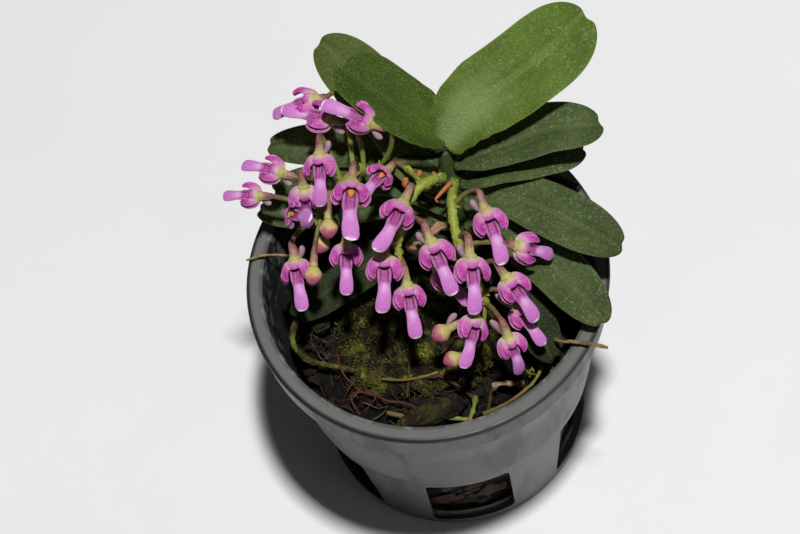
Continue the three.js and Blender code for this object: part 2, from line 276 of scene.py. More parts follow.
def strew(name, masters, matrices):
    """One piece from many small copies, each laid by its own matrix."""
    whole = bmesh.new()
    for i, matrix in enumerate(matrices):
        master = masters[i % len(masters)]
        before = len(whole.verts)
        whole.from_mesh(master.data)
        whole.verts.ensure_lookup_table()
        bmesh.ops.transform(whole, matrix=matrix, verts=whole.verts[before:])
    return coat(from_bmesh(name, whole), *masters[0].data.materials)


def fit(piece, slot, *nodes):
    """Brings a finished piece to metres and settles it on the object."""
    piece.data.transform(Matrix.Scale(MM, 4))
    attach(piece, "root")
    if nodes:
        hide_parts(*nodes)
    return piece


# Finishes

def feed(tree, socket, value):
    """Links a value from another node, or sets a plain one."""
    if isinstance(value, bpy.types.NodeSocket):
        tree.links.new(value, socket)
    elif value is not None:
        socket.default_value = value


def add(tree, kind, settings=None, **inputs):
    made = tree.nodes.new(kind)
    for name, value in (settings or {}).items():
        setattr(made, name, value)
    for name, value in inputs.items():
        feed(tree, made.inputs[name.replace("_", " ")], value)
    return made


def group(name, inputs, outputs):
    """A node group with its sockets, and the ends of it to build between."""
    tree = bpy.data.node_groups.new(name, "ShaderNodeTree")
    for label, kind, value in inputs:
        socket = tree.interface.new_socket(label, in_out="INPUT", socket_type=kind)
        if value is not None:
            socket.default_value = value
    for label, kind in outputs:
        tree.interface.new_socket(label, in_out="OUTPUT", socket_type=kind)
    return tree, tree.nodes.new("NodeGroupInput"), tree.nodes.new("NodeGroupOutput")


def math_node(tree, operation, a, b=None, clamp=False):
    made = tree.nodes.new("ShaderNodeMath")
    made.operation = operation
    made.use_clamp = clamp
    for socket, value in zip(made.inputs, (a, b)):
        feed(tree, socket, value)
    return made.outputs[0]


def map_range(tree, value, low, high, to_low=0.0, to_high=1.0):
    made = add(tree, "ShaderNodeMapRange", {"clamp": True, "interpolation_type": "SMOOTHSTEP"})
    tree.links.new(value, made.inputs["Value"])
    for label, number in (("From Min", low), ("From Max", high), ("To Min", to_low), ("To Max", to_high)):
        made.inputs[label].default_value = number
    return made.outputs["Result"]


def mix(tree, share, a, b):
    made = tree.nodes.new("ShaderNodeMix")
    made.data_type = "RGBA"
    made.clamp_factor = True
    for socket, value in ((made.inputs[0], share), (made.inputs[6], a), (made.inputs[7], b)):
        feed(tree, socket, (*value, 1.0) if isinstance(value, tuple) else value)
    return made.outputs[2]


def ramp(tree, value, stops):
    made = tree.nodes.new("ShaderNodeValToRGB")
    tree.links.new(value, made.inputs[0])
    elements = made.color_ramp.elements
    while len(elements) < len(stops):
        elements.new(0.5)
    for element, (position, colour) in zip(elements, stops):
        element.position = position
        element.color = (*colour, 1.0)
    return made.outputs[0]


def make_granules():
    """Fine raised granules with a few glinting ones."""
    tree, start, end = group(
        "fine_granules",
        [("Vector", "NodeSocketVector", None), ("Scale", "NodeSocketFloat", 4000.0)],
        [("Height", "NodeSocketFloat"), ("Glint", "NodeSocketFloat")])
    cells = add(tree, "ShaderNodeTexVoronoi", {"feature": "F1"},
                Vector=start.outputs[0], Scale=start.outputs[1])
    wide = math_node(tree, "MULTIPLY", start.outputs[1], 0.31)
    swell = add(tree, "ShaderNodeTexNoise", Vector=start.outputs[0], Scale=wide, Detail=2.0)
    low = math_node(tree, "SUBTRACT", 0.8, cells.outputs["Distance"], clamp=True)
    both = math_node(tree, "MULTIPLY_ADD", low, 0.7)
    tree.links.new(math_node(tree, "MULTIPLY", swell.outputs[0], 0.3), both.node.inputs[2])
    tree.links.new(both, end.inputs["Height"])
    parts = add(tree, "ShaderNodeSeparateColor", Color=cells.outputs["Color"])
    tree.links.new(map_range(tree, parts.outputs[0], 0.72, 0.98), end.inputs["Glint"])
    return tree


def make_blotches():
    """Soft uneven patches."""
    tree, start, end = group(
        "soft_blotches",
        [("Vector", "NodeSocketVector", None), ("Scale", "NodeSocketFloat", 300.0),
         ("Low", "NodeSocketFloat", 0.35), ("High", "NodeSocketFloat", 0.65)],
        [("Mask", "NodeSocketFloat")])
    cloud = add(tree, "ShaderNodeTexNoise", Vector=start.outputs[0], Scale=start.outputs[1], Detail=5.0,
                Roughness=0.6)
    span = add(tree, "ShaderNodeMapRange", {"interpolation_type": "SMOOTHSTEP"}, Value=cloud.outputs[0])
    tree.links.new(start.outputs[2], span.inputs["From Min"])
    tree.links.new(start.outputs[3], span.inputs["From Max"])
    tree.links.new(span.outputs[0], end.inputs["Mask"])
    return tree


def make_streaks():
    """Fine lines that run along a piece and wander a little."""
    tree, start, end = group(
        "long_streaks",
        [("Along", "NodeSocketFloat", 0.0), ("Across", "NodeSocketFloat", 0.0),
         ("Vector", "NodeSocketVector", None), ("Count", "NodeSocketFloat", 12.0)],
        [("Lines", "NodeSocketFloat")])
    wander = add(tree, "ShaderNodeTexNoise", Vector=start.outputs[2], Scale=700.0, Detail=3.0)
    shifted = math_node(tree, "MULTIPLY_ADD", wander.outputs[0], 0.25)
    tree.links.new(start.outputs[1], shifted.node.inputs[2])
    wide = math_node(tree, "MULTIPLY", shifted, start.outputs[3])
    stretched = math_node(tree, "MULTIPLY", start.outputs[0], 2.0)
    spot = add(tree, "ShaderNodeCombineXYZ", X=wide, Y=stretched)
    lines = add(tree, "ShaderNodeTexNoise", Vector=spot.outputs[0], Scale=1.0, Detail=3.0)
    tree.links.new(lines.outputs[0], end.inputs["Lines"])
    return tree


GRANULES = make_granules()
BLOTCHES = make_blotches()
STREAKS = make_streaks()


class Finish:
    """A material under way, with the coordinates that its patterns follow."""

    def __init__(self, name, **constants):
        self.material = bpy.data.materials.new(name)
        self.material.use_nodes = True
        self.tree = self.material.node_tree
        self.shader = self.tree.nodes["Principled BSDF"]
        for label, value in constants.items():
            self.shader.inputs[label.replace("_", " ")].default_value = value
        self.place = add(self.tree, "ShaderNodeTexCoord").outputs["Object"]

    def along(self):
        return add(self.tree, "ShaderNodeAttribute", {"attribute_name": "along"}).outputs["Fac"]

    def across(self):
        return add(self.tree, "ShaderNodeAttribute", {"attribute_name": "across"}).outputs["Fac"]

    def margin(self, low, high):
        """1 at the side edges, 0 in the middle."""
        return self.span(math_node(self.tree, "ABSOLUTE", self.across()), low, high)

    def middle(self, low, high):
        """1 in the middle, 0 at the side edges."""
        return math_node(self.tree, "SUBTRACT", 1.0, self.margin(low, high))

    def span(self, value, *limits):
        return map_range(self.tree, value, *limits)

    def times(self, a, b):
        return math_node(self.tree, "MULTIPLY", a, b)

    def wavy_along(self, size, swing):
        """The way along the piece, so uneven that no colour ends in a straight line."""
        wave = math_node(self.tree, "MULTIPLY_ADD", self.blotches(size), swing)
        self.tree.links.new(math_node(self.tree, "SUBTRACT", self.along(), 0.5 * swing), wave.node.inputs[2])
        return wave

    def base(self, share, a, b):
        self.body = mix(self.tree, share, a, b)

    def tint(self, mask, share, colour):
        """Lays a colour over the body where the mask shows."""
        self.body = mix(self.tree, self.times(mask, share), self.body, colour)

    def use(self, tree, **inputs):
        return add(self.tree, "ShaderNodeGroup", {"node_tree": tree}, **inputs).outputs

    def granules(self, size):
        return self.use(GRANULES, Vector=self.place, Scale=1 / (size * MM))

    def blotches(self, size, low=0.35, high=0.65):
        return self.use(BLOTCHES, Vector=self.place, Scale=1 / (size * MM), Low=low, High=high)[0]

    def streaks(self, count):
        return self.use(STREAKS, Along=self.along(), Across=self.across(), Vector=self.place,
                        Count=count)[0]

    def roughness(self, socket):
        self.tree.links.new(socket, self.shader.inputs["Roughness"])

    def bump(self, height, distance, strength=1.0):
        made = add(self.tree, "ShaderNodeBump", Strength=strength, Distance=distance * MM, Height=height)
        normal = self.shader.inputs["Normal"]
        if normal.is_linked:
            self.tree.links.new(normal.links[0].from_socket, made.inputs["Normal"])
        self.tree.links.new(made.outputs[0], normal)

    def done(self):
        self.tree.links.new(self.body, self.shader.inputs["Base Color"])
        return self.material


def shade(colour, share):
    return tuple(share * value for value in colour)


def leaf_finish(name, deep, fresh, edge, glint_colour, grain=0.26, sparkle=0.3, foot=None, groove=0.35):
    """Grained flesh with a dark midrib line in a paler channel, and a pale edge; painted shade between the
    granules and painted glints on some of them.
    """
    f = Finish(name, Specular_IOR_Level=0.09, Subsurface_Weight=0.06, Subsurface_Scale=0.6 * MM)
    grains = f.granules(grain)
    f.base(f.blotches(5.0, 0.3, 0.7), deep, fresh)
    # Painted shade in the gaps between the granules.
    f.tint(f.span(grains["Height"], 0.2, 0.6, 1.0, 0.0), 0.5, shade(deep, 0.55))
    f.tint(f.span(f.streaks(9.0), 0.35, 0.7), 0.2, fresh)
    if foot:
        f.tint(f.times(f.span(f.along(), 0.40, 0.13), f.middle(0.15, 0.8)), 0.8, foot)
    f.tint(f.middle(0.03, 0.09), 0.22, edge)
    f.tint(f.middle(0.008, 0.024), groove, shade(deep, 0.5))
    f.tint(f.margin(0.93, 0.998), 0.45, edge)
    # Painted glints on some granules, in patches.
    patchy = f.span(f.blotches(3.4, 0.35, 0.7), 0.0, 1.0, 0.4, 1.0)
    f.tint(grains["Glint"], f.times(patchy, sparkle), glint_colour)
    f.roughness(f.span(grains["Glint"], 0.0, 1.0, 0.6, 0.4))
    f.bump(f.blotches(1.6), 0.10, 0.4)
    f.bump(grains["Height"], 0.15, 0.9)
    return f.done()


def petal_finish(name, stops, outer_colour, inner_colour):
    """Coloured by the way along, paler at the outer margin and along the inner side near the cup."""
    f = Finish(name, Roughness=0.45, Specular_IOR_Level=0.14, Subsurface_Weight=0.12,
               Subsurface_Scale=0.4 * MM, Subsurface_Radius=(1.0, 0.45, 0.8))
    grains = f.granules(0.15)
    f.body = ramp(f.tree, f.wavy_along(0.7, 0.14), stops)
    f.tint(f.span(f.across(), 0.66, 0.98), 0.7, outer_colour)
    inner = f.times(f.span(f.across(), 0.1, -0.8), f.span(f.along(), 0.62, 0.25))
    f.tint(inner, 0.6, inner_colour)
    # Painted glints on some granules.
    f.tint(grains["Glint"], 0.22, (0.75, 0.5, 0.7))
    f.bump(f.streaks(6.0), 0.03, 0.4)
    f.bump(grains["Height"], 0.035, 0.8)
    return f.done()


def lip_finish():
    """Dark and striped in the throat, partly its own colour and partly painted shade under the hood; lilac
    on the tongue, with a white rim at its end.
    """
    f = Finish("lip_petal", Roughness=0.45, Specular_IOR_Level=0.14, Subsurface_Weight=0.14,
               Subsurface_Scale=0.5 * MM, Subsurface_Radius=(1.0, 0.5, 0.85))
    grains = f.granules(0.13)
    # The darkest colours at the foot of the lip are its own colour and also painted shade under the hood.
    f.body = ramp(f.tree, f.wavy_along(0.8, 0.05), [
        (0.0, (0.12, 0.012, 0.065)), (0.2, (0.26, 0.03, 0.16)), (0.39, (0.34, 0.05, 0.25)),
        (0.50, (0.55, 0.21, 0.52)), (0.62, (0.57, 0.20, 0.54)), (0.88, (0.53, 0.16, 0.49)),
        (0.94, (0.58, 0.24, 0.56)), (0.972, (0.92, 0.87, 0.93))])
    stripes = math_node(f.tree, "SUBTRACT", f.margin(0.1, 0.24), f.margin(0.32, 0.5))
    f.tint(f.times(stripes, f.span(f.along(), 0.44, 0.3)), 0.3, (0.40, 0.26, 0.33))
    crown = f.times(f.span(f.along(), 0.40, 0.47), f.span(f.along(), 0.66, 0.5))
    f.tint(f.times(f.middle(0.1, 0.75), crown), 0.5, (0.72, 0.48, 0.70))
    f.tint(f.margin(0.82, 1.0), 0.25, (0.72, 0.45, 0.70))
    # Painted glints on some granules.
    f.tint(grains["Glint"], 0.2, (0.8, 0.55, 0.78))
    f.bump(f.streaks(7.0), 0.04, 0.5)
    f.bump(grains["Height"], 0.03, 0.8)
    return f.done()


def flesh_finish(name, stops, grain=0.14, painted_glint=(0.5, 0.35, 0.3), roughness=0.5, translucent=0.15,
                 share=0.35, seam=None):
    """Stems, pedicels, spurs and buds: a colour that changes along, with grains and painted glints on some
    of them.
    """
    f = Finish(name, Roughness=roughness, Specular_IOR_Level=0.3, Subsurface_Weight=translucent,
               Subsurface_Scale=0.5 * MM)
    grains = f.granules(grain)
    f.body = ramp(f.tree, f.wavy_along(0.9, 0.16), stops)
    if seam:
        f.tint(f.margin(0.8, 0.97), 0.7, seam)
    # Painted glints on some granules.
    f.tint(grains["Glint"], share, painted_glint)
    f.bump(f.streaks(5.0), 0.05, 0.5)
    f.bump(grains["Height"], 0.05, 0.9)
    return f.done()


def bark_finish(name, dark, light, streak=6.0):
    """Dry and streaked lengthwise, for bark, twigs and roots."""
    f = Finish(name, Specular_IOR_Level=0.25)
    grains = f.granules(0.35)
    lines = f.streaks(streak)
    f.base(f.span(lines, 0.35, 0.68), dark, light)
    f.body = mix(f.tree, f.blotches(1.4, 0.45, 0.75), f.body, shade(dark, 0.45))
    f.roughness(f.span(grains["Height"], 0.2, 0.8, 0.95, 0.65))
    f.bump(lines, 0.25, 0.8)
    f.bump(grains["Height"], 0.12, 0.7)
    return f.done()


def soil_finish(name, dark, brown, green, green_share, bright=None):
    """Damp crumbs with green growth on them, brightest where it is thick."""
    f = Finish(name, Specular_IOR_Level=0.2)
    grains = f.granules(0.5)
    f.base(f.blotches(1.1, 0.4, 0.7), dark, brown)
    patches = f.blotches(3.2, 0.46, 0.62)
    f.tint(patches, green_share, green)
    if bright:
        f.tint(f.times(f.blotches(2.1, 0.52, 0.64), patches), 0.9, bright)
    f.tint(grains["Glint"], 0.3, brown)
    f.roughness(f.span(grains["Height"], 0.2, 0.8, 1.0, 0.75))
    f.bump(f.blotches(0.8), 0.4, 0.9)
    f.bump(grains["Height"], 0.2, 0.8)
    return f.done()


def plastic_finish():
    """Scuffed dark plastic with pale dust blotches: painted light on the right side, a darker collar band, a
    painted highlight on the rim top, painted shade on the inner wall above the fill and painted patches of
    light on that wall.
    """
    f = Finish("dark_pot_plastic", Specular_IOR_Level=0.2)
    fine = f.granules(0.35)
    drawn_out = add(f.tree, "ShaderNodeMapping", Vector=f.place, Scale=(1.0, 1.0, 0.25)).outputs[0]
    scuffs = f.use(BLOTCHES, Vector=drawn_out, Scale=260.0, Low=0.42, High=0.7)[0]
    f.base(scuffs, (0.026, 0.0255, 0.025), (0.040, 0.039, 0.0375))
    f.tint(f.blotches(4.0, 0.5, 0.8), 0.12, (0.20, 0.19, 0.17))
    f.tint(fine["Glint"], 0.10, (0.3, 0.3, 0.3))
    x, y, z = add(f.tree, "ShaderNodeSeparateXYZ", Vector=f.place).outputs
    # Painted light: the right side of the pot lighter, standing in for the light and the lit floor's
    # reflection it catches there.
    painted_light_right = math_node(f.tree, "SUBTRACT", f.times(x, 0.85), f.times(y, 0.5))
    f.tint(f.span(painted_light_right, 0.0, 18 * MM), 0.85, (0.150, 0.146, 0.140))
    squares = math_node(f.tree, "ADD", f.times(x, x), f.times(y, y))
    reach = math_node(f.tree, "SQRT", squares)
    collar = f.span(reach, (SHOULDER_RADIUS + 0.2) * MM, (SHOULDER_RADIUS + 0.5) * MM)
    f.tint(collar, 0.75, (0.016, 0.0155, 0.015))
    # Painted highlight: a lighter ring on the flat top of the rim, which is also made rougher.
    top = f.times(f.span(z, (POT_HEIGHT - 0.3) * MM, (POT_HEIGHT - 0.1) * MM),
                  f.span(reach, (RIM_RADIUS - 0.3) * MM, (RIM_RADIUS - 0.8) * MM))
    f.tint(top, 0.9, (0.140, 0.141, 0.132))
    # Painted shade: the inner wall above the fill darker.
    inside = f.times(f.span(reach, (RIM_INNER_RADIUS + 0.9) * MM, (RIM_INNER_RADIUS + 0.4) * MM),
                     f.span(z, (FILL_TOP + 1) * MM, (FILL_TOP + 2) * MM))
    # Painted light: pale patches on the inner wall, where light falls in between the leaves.
    painted_light_patches = f.times(inside, f.blotches(2.0, 0.5, 0.62))
    f.tint(inside, 0.45, (0.016, 0.0165, 0.0165))
    f.tint(painted_light_patches, 0.6, (0.19, 0.20, 0.205))
    rough = f.span(scuffs, 0.0, 1.0, 0.36, 0.5)
    f.roughness(math_node(f.tree, "ADD", rough, f.times(top, 0.2)))
    f.bump(f.blotches(7.0, 0.2, 0.8), 0.12, 0.5)
    f.bump(fine["Height"], 0.02, 0.5)
    return f.done()


def floor_finish():
    f = Finish("pale_ground", Roughness=0.75, Specular_IOR_Level=0.2)
    f.base(f.blotches(60.0, 0.2, 0.8), (0.80, 0.80, 0.80), (0.83, 0.83, 0.83))
    return f.done()


POT = plastic_finish()
LEAF_FRESH = leaf_finish("young_leaf", (0.078, 0.128, 0.016), (0.125, 0.195, 0.030), (0.24, 0.30, 0.08),
                         (0.30, 0.37, 0.18), sparkle=0.3, foot=(0.23, 0.30, 0.11), groove=0.15)
LEAF_UPPER = leaf_finish("upper_leaf", (0.040, 0.070, 0.008), (0.062, 0.106, 0.013), (0.12, 0.18, 0.03),
                         (0.19, 0.26, 0.11), grain=0.16, sparkle=0.5, foot=(0.075, 0.135, 0.012), groove=0.6)
LEAF_MIDDLE = leaf_finish("middle_leaf", (0.068, 0.098, 0.020), (0.108, 0.148, 0.036), (0.20, 0.25, 0.07),
                          (0.25, 0.30, 0.15), sparkle=0.3)
LEAF_DEEP = leaf_finish("grown_leaf", (0.046, 0.070, 0.020), (0.092, 0.128, 0.042), (0.16, 0.20, 0.08),
                        (0.24, 0.29, 0.17), sparkle=0.4)
# Old leaves are darker green, and this is darkened further as painted shade for the lowest leaves under the
# flowers.
LEAF_OLD_AND_SHADED = leaf_finish("old_leaf_and_painted_shade", (0.015, 0.022, 0.008), (0.036, 0.048, 0.018), (0.12, 0.15, 0.04),
                       (0.16, 0.20, 0.11), sparkle=0.2)
PETAL = petal_finish("violet_petal", [
    (0.0, (0.46, 0.44, 0.14)), (0.12, (0.50, 0.38, 0.20)), (0.25, (0.56, 0.22, 0.44)),
    (0.5, (0.48, 0.075, 0.35)), (0.85, (0.38, 0.03, 0.24)), (1.0, (0.48, 0.10, 0.37))],
    (0.74, 0.44, 0.66), (0.55, 0.44, 0.36))
CAP = petal_finish("hood_petal", [
    (0.0, (0.44, 0.42, 0.12)), (0.36, (0.50, 0.46, 0.16)), (0.5, (0.56, 0.36, 0.33)),
    (0.66, (0.54, 0.16, 0.42)), (0.92, (0.46, 0.09, 0.36)), (1.0, (0.34, 0.045, 0.25))],
    (0.56, 0.22, 0.44), (0.56, 0.22, 0.44))
LIP = lip_finish()
OVARY = flesh_finish("mauve_ovary", [
    (0.0, (0.44, 0.42, 0.13)), (0.07, (0.42, 0.36, 0.13)), (0.14, (0.36, 0.22, 0.13)),
    (0.22, (0.30, 0.155, 0.115)), (0.33, (0.20, 0.075, 0.06)), (0.42, (0.13, 0.045, 0.03)),
    (0.54, (0.14, 0.12, 0.03)), (0.75, (0.20, 0.23, 0.04)), (1.0, (0.22, 0.27, 0.04))],
    painted_glint=(0.40, 0.26, 0.22), share=0.3)
SPUR = flesh_finish("pale_spur", [(0.0, (0.24, 0.12, 0.15)), (0.5, (0.32, 0.19, 0.25)),
                                  (1.0, (0.38, 0.25, 0.31))],
                    painted_glint=(0.5, 0.38, 0.44), translucent=0.3)
BUD = flesh_finish("rose_bud", [
    (0.0, (0.36, 0.34, 0.09)), (0.3, (0.52, 0.44, 0.13)), (0.48, (0.54, 0.38, 0.17)),
    (0.62, (0.50, 0.15, 0.20)), (1.0, (0.42, 0.06, 0.17))],
    painted_glint=(0.6, 0.45, 0.4), translucent=0.2, seam=(0.62, 0.36, 0.38))
ANTHER = flesh_finish("orange_anther", [(0.0, (0.50, 0.17, 0.015)), (0.8, (0.62, 0.24, 0.025)),
                                        (1.0, (0.8, 0.6, 0.4))],
                      painted_glint=(0.75, 0.4, 0.12))
# A darker copy of the stalk colours, darkest at the foot: painted shade for the left stalk, which runs under
# the leaves.
STALK_PAINTED_SHADE = flesh_finish("shaded_stalk", [(0.0, (0.03, 0.045, 0.01)), (0.4, (0.06, 0.08, 0.012)),
                                            (0.6, (0.16, 0.18, 0.03)), (1.0, (0.24, 0.24, 0.04))],
                          painted_glint=(0.12, 0.12, 0.04))
STALK = flesh_finish("green_stalk", [(0.0, (0.13, 0.17, 0.02)), (0.3, (0.27, 0.31, 0.035)),
                                     (1.0, (0.30, 0.29, 0.05))],
                     grain=0.24, painted_glint=(0.44, 0.48, 0.18), share=0.45)
BRACT = flesh_finish("dry_bract", [(0.0, (0.42, 0.12, 0.03)), (1.0, (0.50, 0.13, 0.05))],
                     painted_glint=(0.6, 0.3, 0.15))
GREEN_BRACT = flesh_finish("green_bract", [(0.0, (0.28, 0.32, 0.05)), (1.0, (0.40, 0.30, 0.06))],
                           painted_glint=(0.5, 0.5, 0.2))
HUSK = bark_finish("dry_husk", (0.26, 0.15, 0.08), (0.50, 0.33, 0.20))
SHEATH = flesh_finish("leaf_sheath", [(0.0, (0.03, 0.028, 0.014)), (0.4, (0.030, 0.045, 0.012)),
                                      (1.0, (0.035, 0.060, 0.012))],
                      grain=0.25, painted_glint=(0.10, 0.14, 0.05), share=0.2)
SOIL = soil_finish("damp_fill", (0.003, 0.0025, 0.002), (0.014, 0.009, 0.006), (0.012, 0.014, 0.004), 0.3)
MOSS = soil_finish("moss_bed", (0.007, 0.006, 0.002), (0.034, 0.026, 0.010), (0.115, 0.120, 0.014), 0.95,
                   (0.33, 0.35, 0.04))
MOSS_BLADE = flesh_finish("moss_blade", [(0.0, (0.03, 0.032, 0.006)), (0.5, (0.07, 0.08, 0.010)),
                                         (1.0, (0.17, 0.18, 0.022))], painted_glint=(0.25, 0.26, 0.05))
BARK = bark_finish("brown_bark", (0.022, 0.013, 0.008), (0.080, 0.046, 0.027))
MOSSY_BARK = soil_finish("mossy_bark", (0.008, 0.006, 0.003), (0.030, 0.019, 0.011),
                         (0.055, 0.057, 0.012), 0.8)
CHIP = bark_finish("dark_chip", (0.005, 0.0035, 0.0025), (0.026, 0.016, 0.010))
FIBRE = bark_finish("brown_fibre", (0.030, 0.018, 0.010), (0.13, 0.078, 0.042), streak=3.0)
RED_ROOT = bark_finish("red_root", (0.045, 0.016, 0.010), (0.17, 0.065, 0.040))
ORANGE_ROOT = bark_finish("orange_root", (0.24, 0.15, 0.06), (0.50, 0.34, 0.16))
GREEN_ROOT = soil_finish("mossy_root", (0.05, 0.045, 0.014), (0.13, 0.10, 0.04), (0.17, 0.21, 0.025), 0.9,
                         (0.30, 0.36, 0.05))
OLIVE_TWIG = flesh_finish("olive_twig", [(0.0, (0.10, 0.09, 0.02)), (0.5, (0.17, 0.10, 0.035)),
                                         (0.85, (0.18, 0.22, 0.035)), (1.0, (0.24, 0.30, 0.05))],
                          painted_glint=(0.3, 0.25, 0.1), roughness=0.8)
GREEN_SHOOT = flesh_finish("green_shoot", [(0.0, (0.10, 0.13, 0.02)), (0.7, (0.17, 0.22, 0.03)),
                                           (0.9, (0.32, 0.10, 0.04))],
                           painted_glint=(0.32, 0.36, 0.1), roughness=0.7)
TAN_STICK = bark_finish("tan_stick", (0.26, 0.17, 0.10), (0.62, 0.45, 0.30), streak=5.0)
FLOOR_FINISH = floor_finish()


# Pot

def turned(name, sides, outline):
    """A solid of revolution, drawn up ring by ring from its underside."""
    radius, height = outline[0]
    piece = basic(name, bpy.ops.mesh.primitive_circle_add,
                  vertices=sides, radius=radius, fill_type="NGON", location=(0, 0, height))
    bpy.ops.object.transform_apply(location=True, rotation=True, scale=True)
    bpy.ops.object.mode_set(mode="EDIT")
    bpy.ops.mesh.select_all(action="SELECT")
    for (old, low), (new, high) in zip(outline, outline[1:]):
        bpy.ops.mesh.extrude_region_move(TRANSFORM_OT_translate={"value": (0, 0, high - low)})
        bpy.ops.transform.resize(value=(new / old, new / old, 1), center_override=(0, 0, high))
    bpy.ops.mesh.select_all(action="DESELECT")
    bpy.ops.mesh.select_non_manifold()
    bpy.ops.mesh.edge_face_add()
    bpy.ops.object.mode_set(mode="OBJECT")
    outward(piece)
    return piece


def inner_radius(z):
    return blend(FOOT_RADIUS - WALL, SHOULDER_RADIUS - WALL, (z - FLOOR) / (SHOULDER - FLOOR))


def outer_radius(z):
    return blend(FOOT_RADIUS, SHOULDER_RADIUS, z / (SHOULDER - 1.2))


def slot_cutter(name, angle):
    """A block that cuts one slot, rounded along the edges that run through the wall."""
    outward_way = Vector((math.cos(angle), math.sin(angle), 0))
    middle = 0.5 * (SLOT_BOTTOM + SLOT_TOP)
    cutter = basic(name, bpy.ops.mesh.primitive_cube_add, size=1, rotation=(0, 0, angle),
                   location=(20 * math.cos(angle), 20 * math.sin(angle), middle))
    cutter.scale = (7, SLOT_WIDTH, SLOT_TOP - SLOT_BOTTOM)
    bpy.ops.object.transform_apply(location=True, rotation=True, scale=True)
    bpy.ops.object.mode_set(mode="EDIT")
    bpy.ops.mesh.select_all(action="DESELECT")
    bpy.ops.object.mode_set(mode="OBJECT")
    for edge in cutter.data.edges:
        a, b = (cutter.data.vertices[v].co for v in edge.vertices)
        edge.select = abs((b - a).normalized().dot(outward_way)) > 0.9
    bpy.ops.object.mode_set(mode="EDIT")
    bpy.ops.mesh.select_mode(type="EDGE")
    bpy.ops.mesh.bevel(offset=0.9, segments=4, affect="EDGES")
    bpy.ops.mesh.select_mode(type="VERT")
    bpy.ops.object.mode_set(mode="OBJECT")
    return cutter


def make_pot():
    inner = SHOULDER_RADIUS - WALL
    pot = turned("moulded_pot", 144, [
        (17.2, 0.35), (17.6, 0.0), (18.5, 0.0), (18.9, 0.12), (FOOT_RADIUS, 0.5),
        (outer_radius(1.9), 1.9), (outer_radius(20.6), 20.6), (outer_radius(21.0) + 0.12, 20.9),
        (outer_radius(21.0) + 0.14, 21.3), (outer_radius(30), 30), (SHOULDER_RADIUS - 0.05, SHOULDER - 1.5),
        (SHOULDER_RADIUS + 0.15, SHOULDER - 1.15), (SHOULDER_RADIUS + 0.7, SHOULDER - 0.95),
        (SHOULDER_RADIUS + 0.86, SHOULDER - 0.7), (SHOULDER_RADIUS + 0.88, SHOULDER - 0.15),
        (SHOULDER_RADIUS + 1.0, SHOULDER + 0.02), (RIM_RADIUS - 0.55, SHOULDER + 0.1),
        (RIM_RADIUS - 0.36, SHOULDER + 0.35), (RIM_RADIUS - 0.06, POT_HEIGHT - 0.75),
        (RIM_RADIUS, POT_HEIGHT - 0.5), (RIM_RADIUS - 0.08, POT_HEIGHT - 0.2),
        (RIM_RADIUS - 0.3, POT_HEIGHT - 0.03), (RIM_RADIUS - 0.6, POT_HEIGHT),
        (RIM_INNER_RADIUS + 0.5, POT_HEIGHT - 0.02), (RIM_INNER_RADIUS + 0.18, POT_HEIGHT - 0.12),
        (RIM_INNER_RADIUS, POT_HEIGHT - 0.42), (RIM_INNER_RADIUS - 0.12, POT_HEIGHT - 1.6),
        (inner + 0.16, SHOULDER + 0.4), (inner + 0.02, SHOULDER - 0.5), (inner_radius(20), 20),
        (inner_radius(FLOOR + 0.5), FLOOR + 0.5), (inner_radius(FLOOR) - 0.5, FLOOR)])
    cutter = join("slot_cutters", [
        slot_cutter(f"slot_cutter_{i}", math.radians(FIRST_SLOT_DEGREES + i * 360 / SLOT_COUNT))
        for i in range(SLOT_COUNT)])
    finish_with(pot, "BOOLEAN", object=cutter, operation="DIFFERENCE", solver="EXACT")
    put_away(cutter)
    pick_only(pot)
    bpy.ops.object.shade_smooth_by_angle(angle=math.radians(38))
    coat(pot, POT)
    fit(pot, "plastic", "pot")


# Fill, moss and bark

def make_fill():
    foot = FLOOR + 0.25
    path = [(0, foot), (inner_radius(foot) - 0.5, foot), (inner_radius(18) - 0.45, 18),
            (inner_radius(33) - 0.35, 33.6), (inner_radius(34) - 1.6, 35.2), (9, 35.8), (0, 36.0)]
    places = [0.0, 0.12, 0.3, 0.46, 0.54, 0.8, 1.0]

    def place(s, angle):
        r, z = path[-1]
        for (low, a), (high, b) in zip(zip(places, path), zip(places[1:], path[1:])):
            if s <= high:
                t = (s - low) / (high - low)
                r, z = blend(a[0], b[0], t), blend(a[1], b[1], t)
                break
        point = Vector((r * math.cos(angle), r * math.sin(angle), z))
        coarse = noise.noise(point * 0.33)
        lumps = noise.noise(point * 0.85 + Vector((7, 3, 1)))
        fine = noise.noise(point * 2.3)
        if z > 34.5:
            point.z += 0.75 * coarse + 0.45 * lumps + 0.22 * fine - 0.35
        elif s > 0.12:
            inward = 0.55 * abs(coarse) + 0.5 * abs(lumps) + 0.2 * abs(fine)
            point.x -= inward * math.cos(angle)
            point.y -= inward * math.sin(angle)
        return point

    fill = coat(skin("bark_fill", 150, 130, place), SOIL)
    fit(fill, "fill", "potting_mix")


def chip_master(name, seed):
    """A small broken flake of bark."""
    local = random.Random(seed)
    piece = basic(name, bpy.ops.mesh.primitive_cube_add, size=1)
    bpy.ops.object.mode_set(mode="EDIT")
    bpy.ops.mesh.select_all(action="SELECT")
    bpy.ops.mesh.bevel(offset=0.12, segments=1, affect="EDGES")
    bpy.ops.object.mode_set(mode="OBJECT")
    for vertex in piece.data.vertices:
        co = vertex.co
        co += Vector([local.uniform(-0.11, 0.11) for _ in range(3)])
        co.x *= 1 + 0.3 * co.y
    mark(piece, [v.co.x + 0.5 for v in piece.data.vertices], [2 * v.co.y for v in piece.data.vertices])
    pick_only(piece)
    bpy.ops.object.shade_flat()
    return coat(piece, CHIP)


